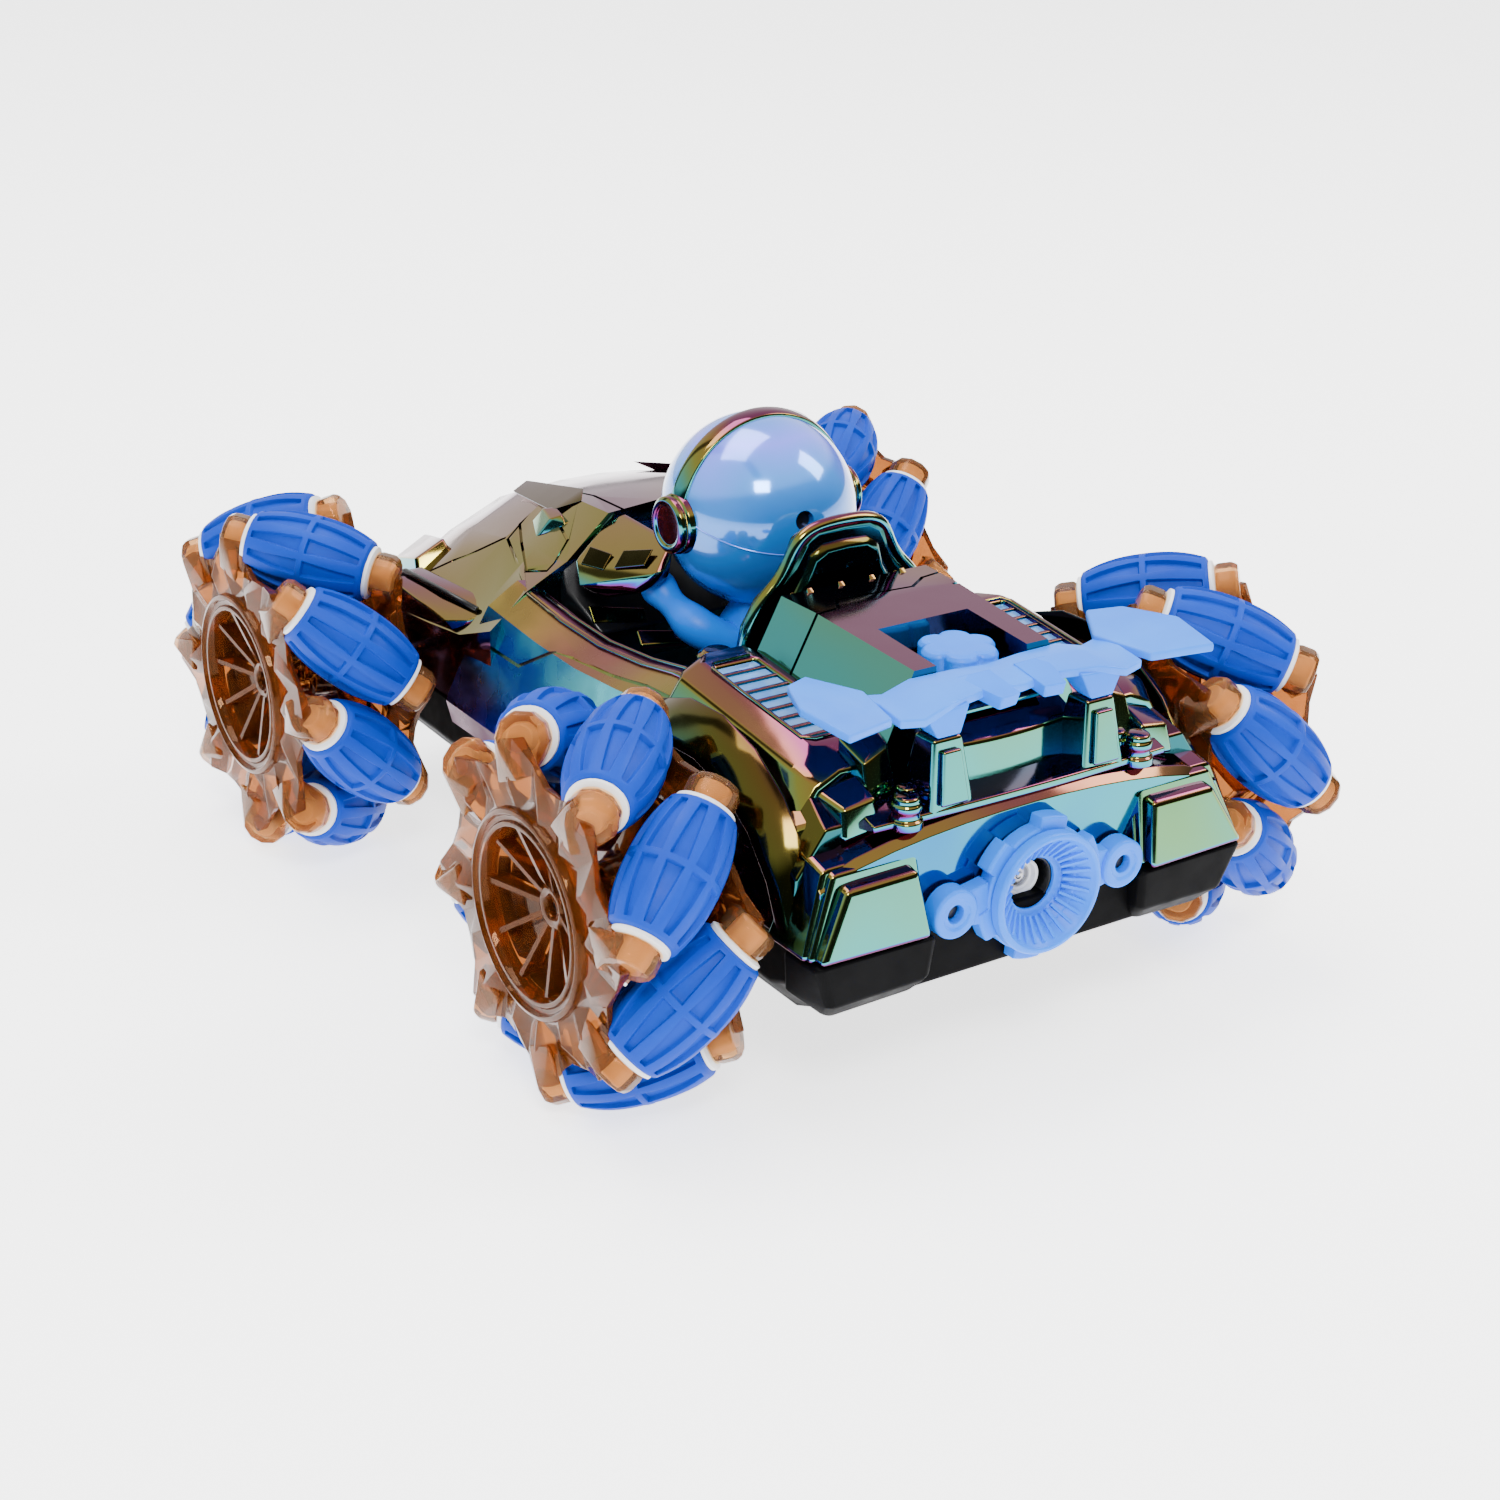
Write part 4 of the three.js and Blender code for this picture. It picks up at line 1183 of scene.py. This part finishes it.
def wing():
    """The tail wing: a swept centre blade, two raised winglets, struts and fin tabs."""
    thick = 2.3
    blade = []
    for x, front, back, z in (
        (-36, -97.5, -114.5, 100.0), (-30, -99.0, -116.0, 99.6), (-22, -98.6, -115.2, 101.6),
        (-10, -99.0, -112.5, 101.6),
        (0, -99.4, -113.5, 101.0), (10, -99.0, -112.5, 101.6), (22, -98.6, -115.2, 101.6),
        (30, -99.0, -116.0, 99.6),
        (36, -97.5, -114.5, 100.0),
    ):
        blade.append([
            (x, front, z - thick * 0.5), (x, front + 0.4, z), (x, (front + back) / 2, z + 1.0),
            (x, back, z),
            (x, back, z - thick),
        ])
    main = loft("wing_blade", blade, SKY_TOP, 0.5)
    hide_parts("tail_wing")
    for name, side in SIDES.items():
        tip = [
            (34.5, -98.0, 101.2), (42.5, -85.6, 102.2), (50.5, -90.0, 103.2), (56.5, -104.0, 103.8),
            (54.0, -120.0, 102.4), (38.5, -114.8, 101.2),
        ]
        under = [(x, y, z - thick) for x, y, z in tip]
        hull(f"winglet_{name}", mirrored(tip + under, side), SKY_TOP, 0.6)
        hull(f"wing_strut_{name}", mirrored([
            (19.4, -116.0, 93.6), (26.2, -116.0, 93.6), (19.4, -110.5, 93.6), (26.2, -110.5, 93.6),
            (16.5, -115.2, 100.4), (29.5, -115.4, 99.8), (16.5, -102.0, 100.6), (29.5, -102.0, 100.0),
        ], side), SKY, 0.6)
        hull(f"wing_fin_{name}", mirrored([
            (3.5, -105.0, 102.7), (13.5, -105.0, 102.7), (3.5, -117.4, 101.0), (9.5, -118.2, 101.0),
            (4.0, -116.6, 97.6), (9.5, -117.2, 97.6), (4.0, -106.0, 99.0), (12.5, -106.0, 99.0),
        ], side), SKY, 0.5)


def filler():
    """The lobed cap, its dark neck and the collar in the pocket."""
    lobes, points = 6, 96
    rings = []
    for height, grow in ((96.2, -0.5), (96.8, 0.0), (101.6, 0.2), (102.6, -0.6), (102.9, -2.2)):
        ring = []
        for i in range(points):
            angle = 2 * math.pi * i / points
            radius = 7.9 + grow + 2.1 * abs(math.cos(lobes * angle / 2)) ** 0.7
            ring.append((radius * math.cos(angle), -88.8 + radius * math.sin(angle), height))
        rings.append(ring)
    mesh = loft_mesh("cap", [[at(*point) for point in ring] for ring in rings])
    cap = soften(piece("cap", mesh, SKY, "filler_cap"), 0.3)
    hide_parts("filler_cap")
    neck = [(5.4, 80), (7.4, 80), (7.4, 94.6), (8.2, 95.0), (8.2, 95.7), (5.4, 95.7)]
    lathe("filler_neck", neck, at(0, -88.8, 0), (0, 0, 1), DARK, segments=40, width=0.3)


def nozzle():
    """The nozzle's toothed disc with a ribbed cone and two screwed ears, and the mist nozzle inside."""
    centre = at(0, PANEL_Y - 0.3, NOZZLE_Z)
    teeth = []
    count = 144
    for i in range(count):
        angle = 2 * math.pi * i / count
        phase = (math.degrees(angle) + 10) % 60
        radius = 18.5 if 17 < phase < 43 else 15.9
        teeth.append((radius, angle))

    def ring(scale, depth):
        return [
            centre + Vector((radius * scale * math.cos(angle), -depth,
            radius * scale * math.sin(angle))) * MM
            for radius, angle in teeth
        ]

    body = loft_mesh("nozzle_disc", [ring(1.0, 0.0), ring(1.0, 4.0), ring(0.97, 4.6)])
    disc = soften(piece("nozzle_disc", body, SKY), 0.3)
    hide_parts("nozzle_surround")
    hollow = [(0, -1), (6.6, -1), (6.6, 1.4), (8.2, 1.6), (14.4, 9.5), (0, 9.5)]
    cut_lathe(disc, hollow, centre, BACKWARD, 64)
    collar = [(13.0, 5.2), (15.6, 5.2), (15.6, 7.9), (14.9, 8.5), (14.0, 8.5), (13.3, 7.2), (8.4, 1.9),
        (8.4, 1.0)]
    lathe("nozzle_cone", collar, centre, BACKWARD, SKY, segments=72, width=0.35)
    ribs = bmesh.new()
    for k in range(28):
        angle = 2 * math.pi * k / 28
        out = Vector((math.cos(angle), 0, math.sin(angle)))
        across = Vector((-math.sin(angle), 0, math.cos(angle)))
        made = [
            ribs.verts.new(centre + (out * radius + across * half - Vector((0, depth, 0))) * MM)
            for radius, depth in ((8.6, 1.6), (13.9, 6.2), (12.9, 7.4), (7.6, 3.2))
            for half in (-0.36, 0.36)
        ]
        bmesh.ops.convex_hull(ribs, input=made)
    soften(piece("nozzle_ribs", finish_mesh("nozzle_ribs", ribs, False), SKY), 0.12)
    for name, side in SIDES.items():
        ear_at = at(side * 25.4, PANEL_Y - 0.3, NOZZLE_Z)
        ear = [(2.3, 0), (6.3, 0), (6.3, 4.6), (5.8, 5.2), (4.0, 5.2), (3.6, 4.7), (2.3, 4.7)]
        lathe(f"nozzle_ear_{name}", ear, ear_at, BACKWARD, SKY, segments=40, width=0.35)
        lathe(f"nozzle_screw_{name}", [(0, 0.4), (2.2, 0.4), (2.2, 2.2), (1.6, 2.8), (0, 2.8)], ear_at,
            BACKWARD,
              DARK, segments=24, width=0.2)
        hull(f"nozzle_web_{name}", [
            (side * 15.5, PANEL_Y - 0.4, 58.4), (side * 22, PANEL_Y - 0.4, 57.2),
            (side * 15.5, PANEL_Y - 0.4, 46.6),
            (side * 22, PANEL_Y - 0.4, 47.8), (side * 15.5, PANEL_Y - 4.4, 58.0),
            (side * 22, PANEL_Y - 4.2, 56.8),
            (side * 15.5, PANEL_Y - 4.4, 47.0), (side * 22, PANEL_Y - 4.2, 48.2),
        ], SKY, 0.5)
    hole = [(0, -6.8), (6.9, -6.8), (6.9, 3), (0, 3)]
    cut_lathe(bpy.data.objects["back_panel"], hole, centre, BACKWARD, 48)
    well = [(0, -6.4), (6.7, -6.4), (6.7, 0.4), (6.0, 0.4), (6.0, -5.4), (0, -5.4)]
    lathe("nozzle_well", well, centre, BACKWARD, DARK, segments=48, width=0.15)
    mist = [(0, -5.6), (4.7, -5.6), (4.7, -2.2), (3.8, -2.2), (3.5, -3.4), (2.9, -3.5), (2.9, -4.2),
        (0, -4.2)]
    ring_obj = lathe("mist_ring", mist, centre, BACKWARD, WHITE, segments=48, width=0.15)
    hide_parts("mist_nozzle")
    lathe("mist_disc", [(0, -4.4), (2.6, -4.4), (2.6, -3.7), (1.0, -3.7), (0.6, -3.9), (0, -3.9)], centre,
        BACKWARD,
          STEEL, segments=40, width=0.08)


# Driver

HELMET_AT = (0, -2, 112)
HELMET_RADIUS = 25.8


def driver():
    centre = at(*HELMET_AT)
    work = bmesh.new()
    bmesh.ops.create_icosphere(work, subdivisions=5, radius=HELMET_RADIUS * MM)
    bmesh.ops.translate(work, verts=work.verts, vec=centre)
    shell = piece("helmet_shell", finish_mesh("helmet_shell", work), HELMET)
    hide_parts("driver_helmet")
    hole_axis = Vector((-0.10, -0.97, 0.16)).normalized()
    cut_lathe(shell, [(0, 20), (2.6, 20), (2.6, 30), (0, 30)], centre, hole_axis, 32)
    shell.data.shade_smooth()
    shell.data.set_sharp_from_angle(angle=math.radians(40))
    lathe("helmet_plug", [(0, 18), (2.5, 18), (2.5, 23.4), (0, 23.4)], centre, hole_axis, DARK,
          segments=24, width=0.2)
    # Closed visor: a smooth shield over the front of the helmet.
    rings = []
    for i in range(9):
        polar = math.radians(3 + 45 * i / 8)
        edge = 0.35 if i < 8 else -0.3
        rings.append([
            centre + Vector((
                math.sin(polar) * math.cos(2 * math.pi * k / 64) * 1.18,
                math.cos(polar),
                math.sin(polar) * math.sin(2 * math.pi * k / 64) * 0.86,
            )).normalized() * (HELMET_RADIUS + edge) * MM
            for k in range(64)
        ])
    visor_obj = piece("visor", loft_mesh("visor", rings), DARK)
    visor_obj.data.set_sharp_from_angle(angle=math.radians(50))
    # The helmet's lower shell ends in a thin raised seam from ear to ear round the back.
    seam = []
    for i in range(33):
        angle = math.pi * i / 32
        drop = 9.0 * math.sin(angle)
        out = Vector((math.cos(angle) * 25.7, -math.sin(angle) * 25.7, 4.0 - drop))
        seam.append(centre + out.normalized() * (HELMET_RADIUS + 0.02) * MM)
    piece("helmet_seam", tube_mesh("helmet_seam", seam, 0.28, 8), HELMET)
    # Band from ear to ear, and the double-ringed ear discs.
    band = []
    steps = 48
    for i in range(steps + 1):
        angle = math.pi * i / steps
        out = Vector((math.cos(angle), 0, math.sin(angle)))
        band.append([
            centre + out * radius * MM + Vector((0, y, 0)) * MM
            for radius, y in ((25.0, -3.4), (26.3, -3.2), (26.6, -2.4), (26.9, -1.6), (27.1, 0.4),
            (26.8, 2.2),
                              (25.0, 2.4))
        ])
    band_obj = soften(piece("headset_band", loft_mesh("headset_band", band), PLATED),
        0.25)
    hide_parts("headset")
    for name, side in SIDES.items():
        ear = [
            (0, 22.0), (7.4, 22.0), (8.2, 24.6), (7.9, 26.0), (7.2, 26.4), (7.2, 26.8), (7.7, 27.2),
            (7.5, 28.2),
            (6.6, 28.9), (5.6, 28.7), (5.2, 28.2), (0, 28.0),
        ]
        lathe(f"ear_disc_{name}", ear, centre, (side, 0, 0), PLATED, segments=64,
            width=0.35)
    trunk = lathe("driver_body", [
        (0, 59.8), (13.0, 60.4), (17.0, 66), (16.5, 74), (13.5, 81), (10.5, 86), (9.0, 92), (0, 92),
    ], at(0, -7, 0), (0, 0, 1), SKY, segments=48, width=2.0)
    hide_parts("driver_torso")
    for name, side in SIDES.items():
        limb = [
            (8, -9, 78, 4.6), (14, -8, 79.5, 4.8), (19.6, -6.4, 82.4, 5.4), (22.0, -3.4, 84.6, 5.6),
            (22.8, 0.4, 86.4, 4.2), (23.4, 3.6, 88.0, 3.6), (24.0, 6.4, 89.6, 4.6), (24.6, 9.2, 91.4, 5.4),
            (24.8, 11.6, 92.6, 3.0),
        ]
        points = [at(side * x, y, z) for x, y, z, _ in limb]
        arm = piece(f"arm_{name}", tube_mesh(f"arm_{name}", points, [radius for *_, radius in limb], 20),
            SKY)
        smooth = arm.modifiers.new("smooth_surface", "SUBSURF")
        smooth.levels = smooth.render_levels = 2
        palm = [(0, 0), (2.6, 0), (2.9, 0.5), (2.6, 1.0), (0, 1.0)]
        lathe(f"palm_{name}", palm, at(side * 25.6, 7.2, 95.2), (side * 0.3, -0.55, 0.78), SKY,
              segments=32, width=0.3)


# Pieces inside the body keep their CAD shapes and get their own materials.


def inner_parts():
    looks = {
        "battery_pack": WRAP, "circuit_board": BOARD, "water_tank": TANK,
        **{f"gearmotor_{wheel}": MOTOR_GREY for wheel in WHEELS},
    }
    for node, material in looks.items():
        mesh = frame["nodes"][node].data
        mesh.materials.clear()
        mesh.materials.append(material)


camera()
studio()
wheels()
tub()
underside()
sills()
bonnet()
cockpit()
deck()
pods()
rear_panel()
bumpers()
seat()
wing()
filler()
nozzle()
driver()
inner_parts()
